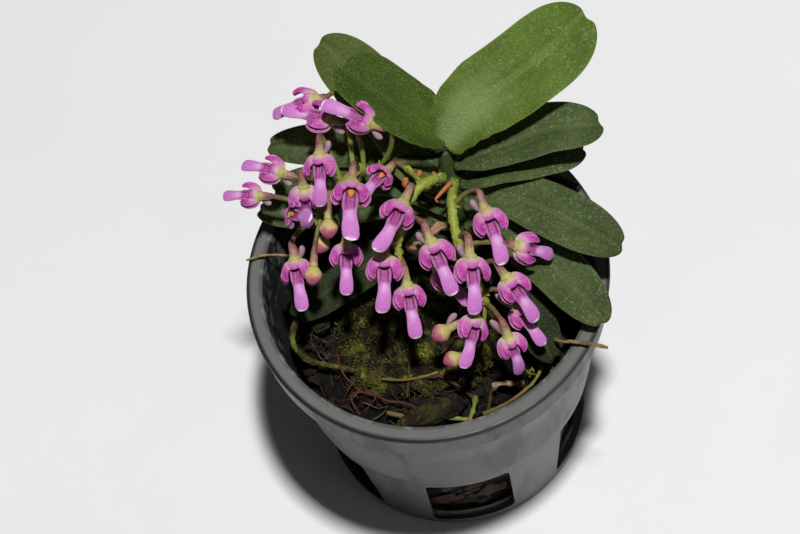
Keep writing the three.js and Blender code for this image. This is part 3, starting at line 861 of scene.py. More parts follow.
def turn_to(direction, spin=0.0):
    return direction.to_track_quat("X", "Z").to_matrix().to_4x4() @ Matrix.Rotation(spin, 4, "X")


def fill_height(x, y):
    point = Vector((x, y, 35.8))
    return 35.5 + 0.75 * noise.noise(point * 0.33) + 0.45 * noise.noise(point * 0.85 + Vector((7, 3, 1)))


def scattered(radius, nearest=0.0):
    """A random place within a radius."""
    angle = draw.uniform(0, FULL_TURN)
    r = radius * math.sqrt(draw.uniform(nearest, 1))
    return r * math.cos(angle), r * math.sin(angle)


def make_chips():
    """Flakes strewn on the fill, and flakes that show through the slots."""
    masters = [chip_master(f"flake_{i}", i) for i in range(5)]
    laid = []
    for _ in range(CRUMBS):
        x, y = scattered(20.6, 0.02)
        length = draw.uniform(0.7, 2.6)
        width, thickness = draw.uniform(0.35, 0.7), draw.uniform(0.18, 0.4)
        size = Matrix.Diagonal((length, length * width, length * thickness, 1))
        heading = Vector((math.cos(draw.uniform(0, 6.3)), math.sin(draw.uniform(0, 6.3)),
                          draw.uniform(-0.35, 0.35)))
        place = Matrix.Translation((x, y, fill_height(x, y) + draw.uniform(-0.1, 0.45)))
        laid.append(place @ turn_to(heading, draw.uniform(-0.6, 0.6)) @ size)
    fit(strew("bark_crumbs", masters, laid), "bark")
    behind = []
    for _ in range(CRUMBS_IN_SLOTS):
        angle = draw.uniform(0, FULL_TURN)
        z = draw.uniform(3, 22)
        r = inner_radius(z) - draw.uniform(0.7, 1.15)
        length = draw.uniform(1.6, 4.2)
        size = Matrix.Diagonal((length, length * draw.uniform(0.35, 0.8), 0.7, 1))
        outward_way = Vector((math.cos(angle), math.sin(angle), 0))
        level = Vector((-math.sin(angle), math.cos(angle), draw.uniform(-1.2, 1.2))).normalized()
        other = outward_way.cross(level)
        basis = Matrix((level, other, outward_way)).transposed().to_4x4()
        behind.append(Matrix.Translation(outward_way * r + Vector((0, 0, z))) @ basis @ size)
    walls = strew("bark_in_slots", masters, behind)
    coat(walls, BARK)
    fit(walls, "bark")
    put_away(*masters)


# place on the fill, half sizes and turn in degrees
BARK_CHUNKS = [
    ("bark_chunk_front", (-4, -17.6), (4.6, 1.5, 1.0), 8),
    ("bark_chunk_left", (-16.4, 2.2), (1.4, 3.4, 1.0), 12),
    ("bark_chunk_right", (15.2, -9.3), (2.2, 3.4, 1.2), -28),
    ("bark_chunk_back", (-3, 14.0), (5.4, 3.0, 1.4), 8),
    ("bark_chunk_back_right", (14, 8.6), (3.6, 3.0, 1.3), 40),
]


def make_chunk(node, at, half, turn):
    turned_by = Matrix.Rotation(math.radians(turn), 3, "Z")
    centre = Vector((*at, FILL_TOP + 0.3 + half[2]))

    def place(s, angle):
        polar = math.pi * s
        ring = math.sin(polar) ** 0.6
        flat = Vector((math.cos(angle) * ring, math.sin(angle) * ring, math.cos(polar)))
        flat = Vector(max(-0.85, min(0.85, v)) for v in flat)
        point = Vector((flat.x * half[0] * 1.15, flat.y * half[1] * 1.15, flat.z * half[2] * 1.1))
        layers = 0.16 * math.sin(9 * flat.z + 2 * noise.noise(point * 0.8))
        bumps = 0.32 * noise.noise(point * 0.9 + centre) + 0.12 * noise.noise(point * 3.0)
        point += flat.normalized() * (layers + bumps)
        return centre + turned_by @ point

    overgrown = node in ("bark_chunk_front", "bark_chunk_left")
    chunk = coat(skin("rough_" + node, 40, 26, place), MOSSY_BARK if overgrown else BARK)
    fit(chunk, "bark", node)


MOSS_CENTRE = Vector((-2.5, -4.5, 0))
MOSS_REACH = (12.5, 9.5)


def from_moss(x, y):
    """0 at the middle of the moss cushion, 1 at its edge."""
    return math.hypot((x - MOSS_CENTRE.x) / MOSS_REACH[0], (y - MOSS_CENTRE.y) / MOSS_REACH[1])


def moss_height(x, y):
    flat = from_moss(x, y)
    dome = math.sqrt(max(1 - flat * flat, 0.0))
    point = Vector((x, y, 30))
    lumps = (1.5 * noise.noise(point * 0.30) + 0.8 * noise.noise(point * 0.7)
             + 0.22 * noise.noise(point * 2.0))
    return 36.2 + 2.3 * dome + lumps * (0.35 + 0.65 * dome)


def make_moss():
    def place(s, angle):
        ring = math.sin(math.pi * s)
        edge = 1 + 0.16 * noise.noise(Vector((math.cos(angle) * 2, math.sin(angle) * 2, 5)))
        x = MOSS_CENTRE.x + MOSS_REACH[0] * ring * edge * math.cos(angle)
        y = MOSS_CENTRE.y + MOSS_REACH[1] * ring * edge * math.sin(angle)
        if s > 0.5:
            return Vector((x, y, 35.4))
        return Vector((x, y, max(moss_height(x, y), 35.5)))

    fit(coat(skin("moss_mound", 120, 120, place), MOSS), "moss", "moss_cushion")

    def blade(s, angle):
        width = 0.13 * math.sin(math.pi * min(s * 1.02, 1)) ** 0.7
        return Vector((s, width * math.cos(angle), 0.05 * math.sin(angle) + 0.12 * s * s))

    master = coat(skin("moss_leaf", 4, 5, blade), MOSS_BLADE)
    laid = []
    for _ in range(MOSS_SPOTS):
        angle = draw.uniform(0, FULL_TURN)
        r = math.sqrt(draw.uniform(0, 1.15))
        x = MOSS_CENTRE.x + MOSS_REACH[0] * r * math.cos(angle)
        y = MOSS_CENTRE.y + MOSS_REACH[1] * r * math.sin(angle)
        if noise.noise(Vector((x, y, 0)) * 0.3) < -0.12 or math.hypot(x, y) > 20.5:
            continue
        height = max(moss_height(x, y), 36.0) - 0.1
        first = draw.uniform(0, 6.3)
        for k in range(draw.choice((3, 4, 5))):
            way = first + k * 2.1
            heading = Vector((math.cos(way), math.sin(way), draw.uniform(0.5, 1.9))).normalized()
            size = draw.uniform(0.45, 1.0)
            laid.append(Matrix.Translation((x, y, height)) @ turn_to(heading) @ Matrix.Scale(size, 4))
    fit(strew("moss_leaves", [master], laid), "moss")
    put_away(master)


def fibre_along(whole, points, radius):
    """Adds one thin strand to a mesh under way."""
    sides, rings = 4, 9
    reach = (points[-1] - points[0]).normalized()
    guide = Vector((0, 0, 1)) if abs(reach.z) < 0.8 else Vector((1, 0, 0))
    loops = []
    for i in range(rings + 1):
        s = i / rings
        side, other = ring_sides(points, guide, s)
        r = radius * (1 - 0.75 * s * s) * (0.9 + 0.2 * math.sin(7 * s))
        loops.append([whole.verts.new(on_path(points, s) + (side * math.cos(a) + other * math.sin(a)) * r)
                      for a in (2 * math.pi * k / sides for k in range(sides))])
    for low, high in zip(loops, loops[1:]):
        for k in range(sides):
            whole.faces.new((low[k], low[(k + 1) % sides], high[(k + 1) % sides], high[k]))
    whole.faces.new(loops[0][::-1])
    whole.faces.new(loops[-1])


def strand_piece(name, strands, material, slot):
    whole = bmesh.new()
    for points, radius in strands:
        fibre_along(whole, points, radius)
    piece = coat(from_bmesh(name, whole), material)
    points = piece.data.vertices
    mark(piece, [v.co.x * 0.1 for v in points], [v.co.y * 0.1 for v in points])
    outward(piece)
    fit(piece, slot)


def ground(x, y):
    """The height of whatever lies on top there, fill or moss."""
    bare = fill_height(x, y) + 0.1
    return max(bare, moss_height(x, y)) if from_moss(x, y) < 1 else bare


def wander(x, y, heading, step, turn, lift, lowest=0.0, reach=math.inf):
    """Up to five points of a strand that turns at random as it lies on the ground."""
    points = []
    for _ in range(5):
        if math.hypot(x, y) > reach:
            break
        points.append(Vector((x, y, max(ground(x, y), lowest) + draw.uniform(*lift))))
        heading += draw.uniform(-turn, turn)
        x += step * math.cos(heading)
        y += step * math.sin(heading)
    return points


def make_fibres():
    """Loose fibres on the fill, stems in the moss, and a knot of fine red roots."""
    lying = []
    for _ in range(FIBRES):
        x, y = scattered(20)
        heading = draw.uniform(0, FULL_TURN)
        length = draw.uniform(2.5, 8)
        points = wander(x, y, heading, length / 4, 0.8, (0.0, 0.5), reach=21)
        if len(points) > 2:
            lying.append((points, draw.uniform(0.05, 0.12)))
    strand_piece("loose_fibres", lying, FIBRE, "bark")
    standing = []
    for _ in range(MOSS_STEMS):
        x, y = scattered(15)
        x, y = x - 1, y - 3
        foot = Vector((x, y, ground(x, y) - 0.2))
        lean = Vector((draw.uniform(-0.6, 0.6), draw.uniform(-0.6, 0.6), 1)).normalized()
        height = draw.uniform(1.0, 2.8)
        bend = Vector((draw.uniform(-0.4, 0.4), draw.uniform(-0.4, 0.4), 0))
        way = [foot, foot + lean * height * 0.5, foot + lean * height + bend]
        standing.append((way, draw.uniform(0.06, 0.1)))
    strand_piece("moss_stems", standing, FIBRE, "moss")
    knot = []
    for _ in range(FINE_ROOTS):
        x, y = -12.4 + draw.uniform(-1.6, 1.8), -11.6 + draw.uniform(-1.4, 1.6)
        heading = draw.uniform(0, FULL_TURN)
        points = wander(x, y, heading, 0.75, 1.2, (0.1, 0.9), lowest=37.0)
        knot.append((points, draw.uniform(0.05, 0.09)))
    strand_piece("root_knot", knot, RED_ROOT, "root")


# thin loose growth without a node of its own: points, radius, finish and slot
LOOSE_GROWTH = {
    "upright_twig": ([(-4.6, -8.6, 40.4), (-5.4, -10.6, 39.0), (-5.9, -12.0, 38.0), (-6.7, -14.2, 37.2)],
                     0.20, FIBRE, "bark"),
    "thin_upright_twig": ([(-14.4, -6.4, 39.6), (-14.6, -7.6, 38.8), (-14.2, -9.2, 37.9),
                           (-13.2, -10.6, 37.6)],
                          0.17, RED_ROOT, "root"),
    "red_twig": ([(-3.4, -12.2, 37.9), (-1.4, -12.9, 38.3), (0.3, -14.6, 38.1), (2.4, -17.3, 37.6)],
                 0.30, RED_ROOT, "root"),
    "green_stub": ([(2.4, -16.9, 37.8), (1.9, -18.2, 38.1), (1.2, -19.6, 38.4), (0.7, -20.6, 38.6)],
                   0.42, GREEN_SHOOT, "root"),
    "crossing_twig": ([(-9.4, -10.9, 38.0), (-6.4, -12.0, 38.2), (-3.2, -12.2, 38.2), (-1.8, -12.0, 38.0)],
                      0.24, OLIVE_TWIG, "root"),
    "low_twig": ([(-9.8, -15.6, 37.0), (-6.6, -17.4, 37.2), (-3.4, -18.2, 37.2), (0.8, -19.6, 37.2)],
                 0.34, OLIVE_TWIG, "root"),
    "leaning_twig": ([(5.4, -16.1, 37.6), (4.6, -16.7, 37.7), (4.1, -17.9, 37.4), (3.6, -19.0, 37.2)],
                     0.3, FIBRE, "bark"),
    "front_thread": ([(-11.0, -12.6, 37.4), (-9.2, -14.2, 37.5), (-7.2, -15.0, 37.5), (-5.2, -16.6, 37.3)],
                     0.22, RED_ROOT, "root"),
}


def make_loose_growth():
    for name, (points, radius, finish, slot) in LOOSE_GROWTH.items():
        way = [Vector(p) for p in points]
        fit(coat(bar(name, way, rooty(radius), sides=10, rings=30, rough=0.4, grain=2.0), finish), slot)
    tufts = []
    for x, y, height in ((5.0, -12.7, 38.4), (4.2, -12.9, 38.0), (13.2, -15.6, 38.4), (10.6, -15.2, 38.0),
                         (-5.0, -13.4, 38.0), (-11.0, -0.8, 38.6), (-9.4, -4.5, 38.9), (2.9, -15.0, 37.9)):
        for _ in range(TUFT_BLADES):
            foot = Vector((x + draw.uniform(-0.5, 0.5), y + draw.uniform(-0.5, 0.5), height - 0.8))
            way = Vector((draw.uniform(-1, 1), draw.uniform(-1, 1), draw.uniform(0.6, 1.6))).normalized()
            blade = [foot, foot + way * 0.6, foot + way * draw.uniform(0.8, 1.3)]
            tufts.append((blade, draw.uniform(0.12, 0.2)))
    strand_piece("moss_tufts", tufts, MOSS_BLADE, "moss")


def rooty(base):
    """A radius that swells and thins along a root."""
    return lambda s: base * (1 - 0.35 * s + 0.18 * math.sin(11 * s + 1) * math.sin(5 * s))


# roots and twigs, each with its own node: points, radius, finish and slot
STRANDS = {
    "green_root": ([(-18.9, 1.6, 37.5), (-20.2, -1.6, 37.5), (-19.0, -4.9, 37.6), (-16.2, -6.8, 37.9),
                    (-12.8, -8.7, 38.1)], 0.5, GREEN_ROOT, "root"),
    "curled_root": ([(-10.6, -12.9, 37.2), (-12.4, -12.1, 37.9), (-14.1, -12.4, 37.9), (-13.5, -15.0, 37.2)],
                    0.21, RED_ROOT, "bark"),
    "dry_stick": ([(5.0, -16.0, 37.9), (6.2, -16.0, 38.1), (7.8, -16.5, 38.2), (9.2, -16.8, 38.2)],
                  0.42, TAN_STICK, "bark"),
    "bent_twig": ([(2.8, -19.4, 37.3), (6.4, -18.7, 37.5), (10.2, -16.9, 37.5), (12.3, -14.6, 37.3)],
                  0.28, OLIVE_TWIG, "root"),
    "rim_root": ([(14.4, -12.6, 40.6), (15.2, -15.0, 44.4), (18.0, -16.4, 45.2), (20.9, -18.0, 45.3)],
                 0.3, ORANGE_ROOT, "bark"),
    "rim_twig_left": ([(-17.6, 8.2, 43.4), (-20.2, 8.4, 44.6), (-22.0, 8.5, 44.9), (-23.6, 8.2, 45.1)],
                      0.2, ORANGE_ROOT, "bark"),
    "back_root": ([(14.6, 12.0, 39.8), (17.4, 11.2, 42.6), (20.4, 9.4, 45), (23.2, 6.6, 45.2)],
                  0.6, BARK, "bark"),
}


def make_strands():
    for node, (points, radius, finish, slot) in STRANDS.items():
        way = [Vector(p) for p in points]
        piece = bar("grown_" + node, way, rooty(radius), sides=14, rings=60, rough=0.35, grain=1.6)
        coat(piece, finish)
        fit(piece, slot, node)


# Stem and flower stalks

STEM_RADIUS = 1.4
STEM = [lay(4.9, -0.8, -3.9), lay(4.8, 4.3, -0.9), lay(4.1, 9.8, 2.8), lay(2.2, 16.7, 6.4)]
STALK_RADIUS = 0.62
STALKS = {
    "left": [lay(1.6, 14.8, 6.9), lay(-1.8, 15.1, 6.2), lay(-5.9, 14.4, 6.0), lay(-9.5, 13.5, 6.2),
             lay(-12.6, 11.2, 6.0), lay(-14.6, 7.2, 4.8)],
    "middle": [lay(2.2, 12.8, 8.4), lay(0.7, 12.5, 9.8), lay(-1.6, 10.9, 10.6), lay(-3.3, 7.8, 10.6),
               lay(-3.9, 4.5, 10.2), lay(-3.8, 2.6, 9.6)],
    "right": [lay(3.6, 12.4, 7.2), lay(3.3, 9.8, 9.4), lay(3.7, 5.6, 10.4), lay(5.2, 2, 9.8),
              lay(6.9, -1.6, 8.8), lay(7.8, -4, 8)],
}


def make_stem():
    def radius(s):
        sheaths = (s * 6) % 1
        return STEM_RADIUS * (0.82 + 0.3 * sheaths) * (1 - 0.2 * smoothstep(0.82, 1.0, s))

    stem = bar("sheathed_stem", STEM, radius, sides=20, rings=72, rough=0.1)
    fit(coat(stem, SHEATH), "stem", "stem")


def make_stalks():
    for side, way in STALKS.items():
        nodes = [flower[4] for flower in FLOWERS if flower[3] == side]

        def radius(s):
            swell = sum(math.exp(-((s - node) / 0.035) ** 2) for node in nodes)
            return STALK_RADIUS * (1.16 - 0.36 * s + 0.16 * min(swell, 1.0))

        stalk = bar("grown_stalk_" + side, way, radius, sides=18, rings=80, rough=0.35, grain=2.4)
        fit(coat(stalk, STALK_PAINTED_SHADE if side == "left" else STALK), "stalk", "flower_stalk_" + side)


# Leaves: place along the stem, greatest half width, tilt in degrees and midrib points

LEAF_THICKNESS = 1.3
LEAVES = [
    ("leaf_right_1", None, 5.5, -8, [(2.2, 17.1, 7.0), (5.6, 21.9, 9.9), (11.3, 25.9, 11.4),
                                     (16.2, 29.8, 11.0), (20.9, 35.0, 9.2)]),
    ("leaf_right_2", 0.9, 3.9, -28, [(9.0, 16.4, 8.3), (15.7, 19.0, 9.1), (23.5, 19.8, 7.8)]),
    ("leaf_right_3", 0.78, 3.6, -28, [(9.2, 14.0, 6.6), (15.1, 15.8, 5.8), (21.3, 17.1, 3.6)]),
    ("leaf_right_4", 0.66, 3.8, -14, [(10.2, 10.6, 6.2), (17.6, 7.7, 9.0), (26.0, 3.2, 10.0)]),
    ("leaf_right_5", 0.53, 3.7, -10, [(10.2, 6.2, 4.6), (17.0, 0.8, 7.0), (23.9, -6.6, 8.6)]),
    ("leaf_right_6", 0.37, 3.0, -8, [(9.4, 1.6, 2.2), (13.6, -4.8, 4.0), (17.0, -12, 4.2)]),
    ("leaf_left_1", None, 4.5, 26, [(2.2, 17.8, 6.9), (-0.5, 19.7, 8.4), (-4.2, 22.0, 9.7),
                                    (-8.1, 24.8, 10.1), (-11.9, 27.5, 9.8)]),
    ("leaf_left_2", 0.78, 4.3, 0, [(-1.6, 14.9, 4.9), (-4.9, 21.2, 4.8), (-9.2, 26.6, 3.1),
                                   (-14.6, 31.9, 0.6)]),
    ("leaf_left_3", 0.66, 2.9, 0, [(-4.6, 15.7, 2.6), (-13.1, 17.5, 0.5), (-21.9, 17.4, -2.4)]),
    ("leaf_left_4", 0.56, 2.7, 10, [(-4.6, 12.3, 1.0), (-13.1, 12.4, -0.5), (-21.3, 11.7, -3.4)]),
    ("leaf_left_5", 0.45, 2.6, 14, [(-4.6, 9.2, -0.4), (-14.4, 8.6, -1.9), (-23.4, 8.4, -3.6)]),
    ("leaf_left_6", 0.3, 3.0, 10, [(-3.4, 3.6, -1.6), (-11.2, -0.8, -2.6), (-18.6, -6.0, -4.4)]),
]
LEAF_FINISHES = {"leaf_right_1": LEAF_FRESH, "leaf_left_1": LEAF_UPPER, "leaf_left_2": LEAF_MIDDLE,
                 "leaf_right_6": LEAF_OLD_AND_SHADED, "leaf_left_6": LEAF_OLD_AND_SHADED}
LOW_LEAF = [(0.0, 0.38), (0.3, 0.74), (0.6, 1.0), (1.0, 1.0)]
TOP_LEAF = [(0.0, 0.46), (0.06, 0.53), (0.15, 0.70), (0.25, 0.87), (0.36, 0.98), (0.5, 1.0), (1.0, 1.0)]


def leaf_width(s, broad):
    """Half the width as a share of its greatest, with a rounded foot and a blunt tip."""
    rise = profile(TOP_LEAF if broad else LOW_LEAF, s)
    tip = max((s - 0.66) / 0.34, 0)
    foot = max(1 - s / 0.05, 0)
    return rise * max(1 - tip ** 2.6, 0) ** 0.5 * math.sqrt(max(1 - foot * foot, 0))


def make_leaf(node, on, half, tilt, rib, index):
    way = [lay(*p) for p in rib]
    top = on is None
    if not top:
        root = on_path(STEM, on)
        direction = along_path(STEM, on)
        away = way[0] - root
        away = (away - direction * away.dot(direction)).normalized()
        way.insert(0, root + away * (0.75 * STEM_RADIUS))
    channel, foot_fold = (0.24, 0.5) if not top else (0.24, 0.3) if tilt < 0 else (0.42, 0.35)
    notch_side = 0.16 if index % 2 else -0.16
    notch_depth = 0.6 if top else 0.45
    seed = Vector((index * 7.3, index * 3.1, 0))

    def place(s, angle):
        s = 1 - (1 - s) ** 1.6
        across = math.copysign(abs(math.cos(angle)) ** 0.85, math.cos(angle))
        through = math.sin(angle)
        tangent = along_path(way, s)
        face = Matrix.Rotation(math.radians(tilt), 3, tangent) @ PLANE_LIFT
        side = face.cross(tangent).normalized()
        normal = tangent.cross(side)
        width = half * leaf_width(s, top)
        fold = channel + foot_fold * (1 - smoothstep(0.0, 0.38, s))
        thick = LEAF_THICKNESS * min(1, width / (0.3 * half)) * (1.05 - 0.25 * s)
        offset = width * across
        lift = fold * width * (math.sqrt(across * across + 0.012) - 0.11)
        body = 0.5 * thick * through
        if through > 0:
            body -= 0.26 * math.exp(-(offset / 0.32) ** 2) * smoothstep(0.0, 0.1, s) * through
        else:
            body += 0.28 * math.exp(-(offset / 0.8) ** 2) * through
        wave = noise.noise(Vector((offset * 0.2, s * 3.2, 0)) + seed)
        lift += 0.35 * wave * smoothstep(0.05, 0.4, s) * abs(across)
        lumps = 0.05 * noise.noise(Vector((offset * 0.9, s * 16, through)) + seed)
        off_notch = (offset - notch_side * half) / (0.16 * half)
        notch = notch_depth * math.exp(-off_notch ** 2) * smoothstep(0.9, 1.0, s)
        sway = (0.02 * half * noise.noise(Vector((s * 6, across * 2, 3)) + seed)
                * smoothstep(0.5, 1.0, abs(across)))
        return on_path(way, s) + side * (offset + sway) + normal * (lift + body + lumps) - tangent * notch

    leaf = skin("grown_" + node, 48, 84, place)
    coat(leaf, LEAF_FINISHES.get(node, LEAF_DEEP))
    fit(leaf, "leaf", node)


# Flowers: a bloom is modelled once, lip towards -Y and face towards +Z, and copied

# place, lip direction in degrees, size, stalk, place along it, pitch and roll in degrees, and the spur:
# the sign is its side, 2 a long one, 0 one tucked behind the ovary
FLOWERS = [
    ((-14.7, 23.3, 7.0), 187, 0.97, "left", 0.62, -25, -28, 0),
    ((-12.7, 20.5, 8.6), 164, 1.0, "left", 0.54, -18, -20, 1),
    ((-7.3, 19.8, 12.6), 156, 1.0, "left", 0.42, -5, -8, 1),
    ((-14.3, 15.8, 9.8), 273, 0.97, "left", 0.72, 0, -12, 1),
    ((-19.5, 13.5, 6.0), 160, 0.86, "left", 0.82, -25, -10, 1),
    ((-22.5, 10.5, 4.5), 174, 0.78, "left", 0.92, -25, -10, 1),
    ((-16.5, 11.6, 8.2), 275, 0.92, "left", 0.86, -35, 0, 0),
    ((-18.2, 8.0, 7.4), 344, 0.86, "left", 0.95, 55, 0, -1),
    ((-10.0, 11.8, 11.8), 266, 1.2, "left", 0.58, 22, 0, 0),
    ((-5.6, 13.6, 8.4), 225, 0.92, "middle", 0.3, 32, 0, 0),
    ((-3.3, 9.2, 13.6), 242, 1.08, "middle", 0.46, 16, 4, 0),
    ((-10.8, 3.9, 8.8), 270, 0.95, "left", 0.76, 0, 0, 0),
    ((-17.8, 1.8, 4.4), 281, 0.98, "left", 0.98, 3, -10, 1),
    ((-5.7, 2.3, 11.8), 270, 1.05, "middle", 0.8, 0, 0, 0),
    ((-2.7, -1.6, 9.6), 279, 1.0, "middle", 0.98, 0, 4, 0),
    ((0.5, 4.1, 13.2), 293, 1.05, "middle", 0.62, 0, 0, -1),
    ((1.4, 0.6, 7.6), 309, 0.9, "right", 0.62, 0, 10, 0),
    ((5.6, 2.1, 13.2), 275, 1.05, "right", 0.46, 0, 10, -1),
    ((7.6, 8.3, 13.0), 290, 1.05, "right", 0.24, 0, 2, -1),
    ((11.6, 3.7, 12.4), 348, 0.92, "right", 0.5, -38, 0, 0),
    ((10.4, -0.5, 12.4), 307, 1.0, "right", 0.74, -14, 5, 0),
    ((11.9, -4.4, 8.6), 304, 0.88, "right", 0.86, -5, 10, -2),
    ((6.2, -5.7, 11.2), 259, 0.97, "right", 0.92, -4, 20, 0),
    ((10.6, -8.2, 11.2), 294, 0.86, "right", 0.98, -26, 5, -2),
]
BUDS = [
    ((-13.2, 7.2, 7.6), 272, 1.0, "left", 0.9, 0),
    ((-13.7, 4.9, 4.4), 240, 0.95, "left", 0.96, 0),
    ((-15.2, 0.9, 7.2), 268, 0.95, "left", 0.94, 0),
    ((2.8, -7.3, 9.6), 210, 1.0, "right", 0.89, -1),
    ((4.3, -11.0, 6.6), 206, 0.92, "right", 0.99, 0),
]
# how far the hood comes forward and down, how wide the petals stand, how the lip bends
BLOOM_KINDS = {
    "hooded": {"cover": 1.0, "spread": 1.09, "lip_bend": 0.0, "anther": -0.8},
    "slender": {"cover": 0.95, "spread": 1.02, "lip_bend": 0.15, "anther": -0.8},
    "wide": {"cover": 0.66, "spread": 1.02, "lip_bend": 0.25, "anther": -1.35},
    "closed": {"cover": 1.2, "spread": 1.12, "lip_bend": -0.3, "anther": -0.8},
}


def make_arm(side, back, spread, cover):
    """One of the four side petals: over the shoulder, then down and forward like an ear."""
    if back:
        way = [Vector((0.4, -0.1, -0.1)), Vector((1.2, -0.5, 0.15)), Vector((1.62, -1.3, 0.45)),
               Vector((1.66, -2.2, 0.7)), Vector((1.4, -3.1, 0.85))]
        widths = [(0.0, 0.36), (0.3, 0.58), (0.65, 0.6), (0.88, 0.42), (1.0, 0.14)]
    else:
        way = [Vector((0.4, -0.2, 0.5)), Vector((0.98, -0.5, 1.0)), Vector((1.3, -1.2, 1.35)),
               Vector((1.36, -2.0, 1.5)), Vector((1.22, -2.85, 1.55))]
        widths = [(0.0, 0.4), (0.3, 0.66), (0.6, 0.64), (0.86, 0.46), (1.0, 0.14)]
    way = [Vector((side * p.x * spread, p.y * (0.85 + 0.15 * cover), p.z)) for p in way]

    def place(u, v):
        tangent = along_path(way, v)
        face = Vector((side * 0.4, 0.0, 0.92)).normalized()
        across = tangent.cross(face).normalized() * -side
        normal = across.cross(tangent) * -side
        half = profile(widths, v)
        curl = half * u * u * blend(-0.4, 0.3, smoothstep(0.4, 0.75, v))
        ripple = 0.03 * math.sin(8 * v + 3 * u + side)
        return on_path(way, v) + across * (u * half) + normal * (curl + ripple)

    outer = 1 if place(1, 0.5).x * side > place(-1, 0.5).x * side else -1
    return petal(f"arm_{side}_{back}", 6, 10, 0.26, place, outer=outer)


def make_bloom(kind, cover, spread, lip_bend, anther):
    """The cup with its five petals, lip and anther."""
    parts = [coat(make_arm(side, back, spread, cover), PETAL) for side in (-1, 1) for back in (False, True)]
    dome = [Vector((0, 0.2, 0.4)), Vector((0, -0.15 * cover, 1.02)), Vector((0, -0.68 * cover, 1.38)),
            Vector((0, -1.22 * cover, 1.34))]

    def dorsal(u, v):
        tangent = along_path(dome, v)
        across = Vector((1, 0, 0))
        normal = across.cross(tangent)
        half = profile([(0.0, 0.62), (0.35, 0.9), (0.75, 1.02), (0.92, 0.9), (1.0, 0.62)], v) * spread
        bow = 0.45 * u * u * half
        if normal.z > 0:
            bow = -bow
        middle = 0.16 * (1 - u * u) * smoothstep(0.7, 1.0, v)
        return on_path(dome, v) + across * (u * half) + normal * bow + tangent * middle

    parts.append(coat(petal("dorsal", 8, 9, 0.28, dorsal), CAP))

    tongue = [Vector((0, -0.5, 0.0)), Vector((0, -1.6, 0.25)), Vector((0, -3.1, 0.5)),
              Vector((0.05, -4.7, 0.6 + 0.5 * lip_bend)), Vector((0.02, -6.1, 0.5 + lip_bend)),
              Vector((0, -7.1, 0.38 + 1.3 * lip_bend))]

    def lip(u, v):
        tangent = along_path(tongue, v)
        across = Vector((1, 0, 0))
        normal = across.cross(tangent)
        if normal.z < 0:
            normal = -normal
        half = profile([(0.0, 0.6), (0.18, 0.85), (0.40, 0.84), (0.50, 0.76), (0.73, 0.95), (0.88, 0.93),
                        (0.97, 0.72), (1.0, 0.54)], v)
        lobes = 0.5 * abs(u) ** 3 * (1 - smoothstep(0.36, 0.46, v)) * smoothstep(0.0, 0.12, v)
        dome_over = 0.22 * (1 - u * u) * smoothstep(0.40, 0.56, v) * (1 - 0.6 * smoothstep(0.85, 1.0, v))
        ragged = (0.07 * math.sin(14 * u + 1) * smoothstep(0.93, 1.0, v)
                  + 0.3 * abs(u) ** 3 * smoothstep(0.8, 1.0, v))
        return on_path(tongue, v) + across * (u * half) + normal * (lobes + dome_over) - tangent * ragged

    parts.append(coat(petal("lip", 10, 24, 0.42, lip), LIP))

    def cup(s, angle):
        polar = math.pi * s
        wide = 0.64 + 0.30 * smoothstep(0.1, 0.6, s)
        return Vector((wide * math.sin(polar) ** 0.6 * math.cos(angle), 0.1 + 0.75 * math.cos(polar),
                       0.1 + 0.86 * wide * math.sin(polar) ** 0.6 * math.sin(angle)))

    parts.append(coat(skin("cup", 20, 14, cup), OVARY))
    mark(parts[-1], [0.03] * len(parts[-1].data.vertices), [0.0] * len(parts[-1].data.vertices))

    def cap(s, angle):
        polar = math.pi * s
        wide = 0.5 * math.sin(polar) ** 0.8 * (1.25 - 0.9 * s)
        return Vector((wide * math.cos(angle), anther + 0.45 * math.cos(polar),
                       0.72 + 0.6 * wide * math.sin(angle)))

    parts.append(coat(skin("anther_cap", 14, 12, cap), ANTHER))
    return join("bloom_" + kind, parts)


# a blunt pale sac that points back beside the ovary: its way and its radii
SPURS = {
    0: ([(0.05, -0.2, -0.5), (0.1, 0.5, -1.0), (0.1, 1.2, -1.35), (0.05, 1.8, -1.5)], (0.3, 0.42, 0.38)),
    1: ([(0.4, 0.0, -0.5), (0.85, 0.75, -0.75), (1.08, 1.4, -0.8), (1.15, 1.95, -0.75)], (0.3, 0.46, 0.36)),
    2: ([(0.3, 0.0, -0.5), (0.75, 1.2, -0.9), (1.15, 2.3, -0.9), (1.55, 3.3, -0.8)], (0.36, 0.56, 0.44)),
}


def make_spur(name, kind):
    points, (root, belly, tip) = SPURS[abs(kind)]
    side = -1 if kind < 0 else 1
    way = [Vector((side * x, y, z)) for x, y, z in points]

    def radius(s):
        round_end = math.sqrt(1 - (max(s - 0.72, 0) / 0.29) ** 2)
        return profile([(0.0, root), (0.6, belly), (1.0, tip)], s) * round_end

    return coat(bar(name, way, radius, sides=16, rings=26), SPUR)


def plane_frame(at, lip_degrees, size, pitch=0, roll=0):
    """The frame of a bloom or bud at its place on the tilted plane."""
    angle = math.radians(lip_degrees)
    up = PLANE_RIGHT * -math.cos(angle) + PLANE_UP * -math.sin(angle)
    across = up.cross(PLANE_LIFT)
    basis = Matrix((across, up, PLANE_LIFT)).transposed().to_4x4()
    own = Matrix.Rotation(math.radians(roll), 4, "Y") @ Matrix.Rotation(math.radians(-pitch), 4, "X")
    return Matrix.Translation(lay(*at)) @ basis @ own @ Matrix.Scale(size, 4)


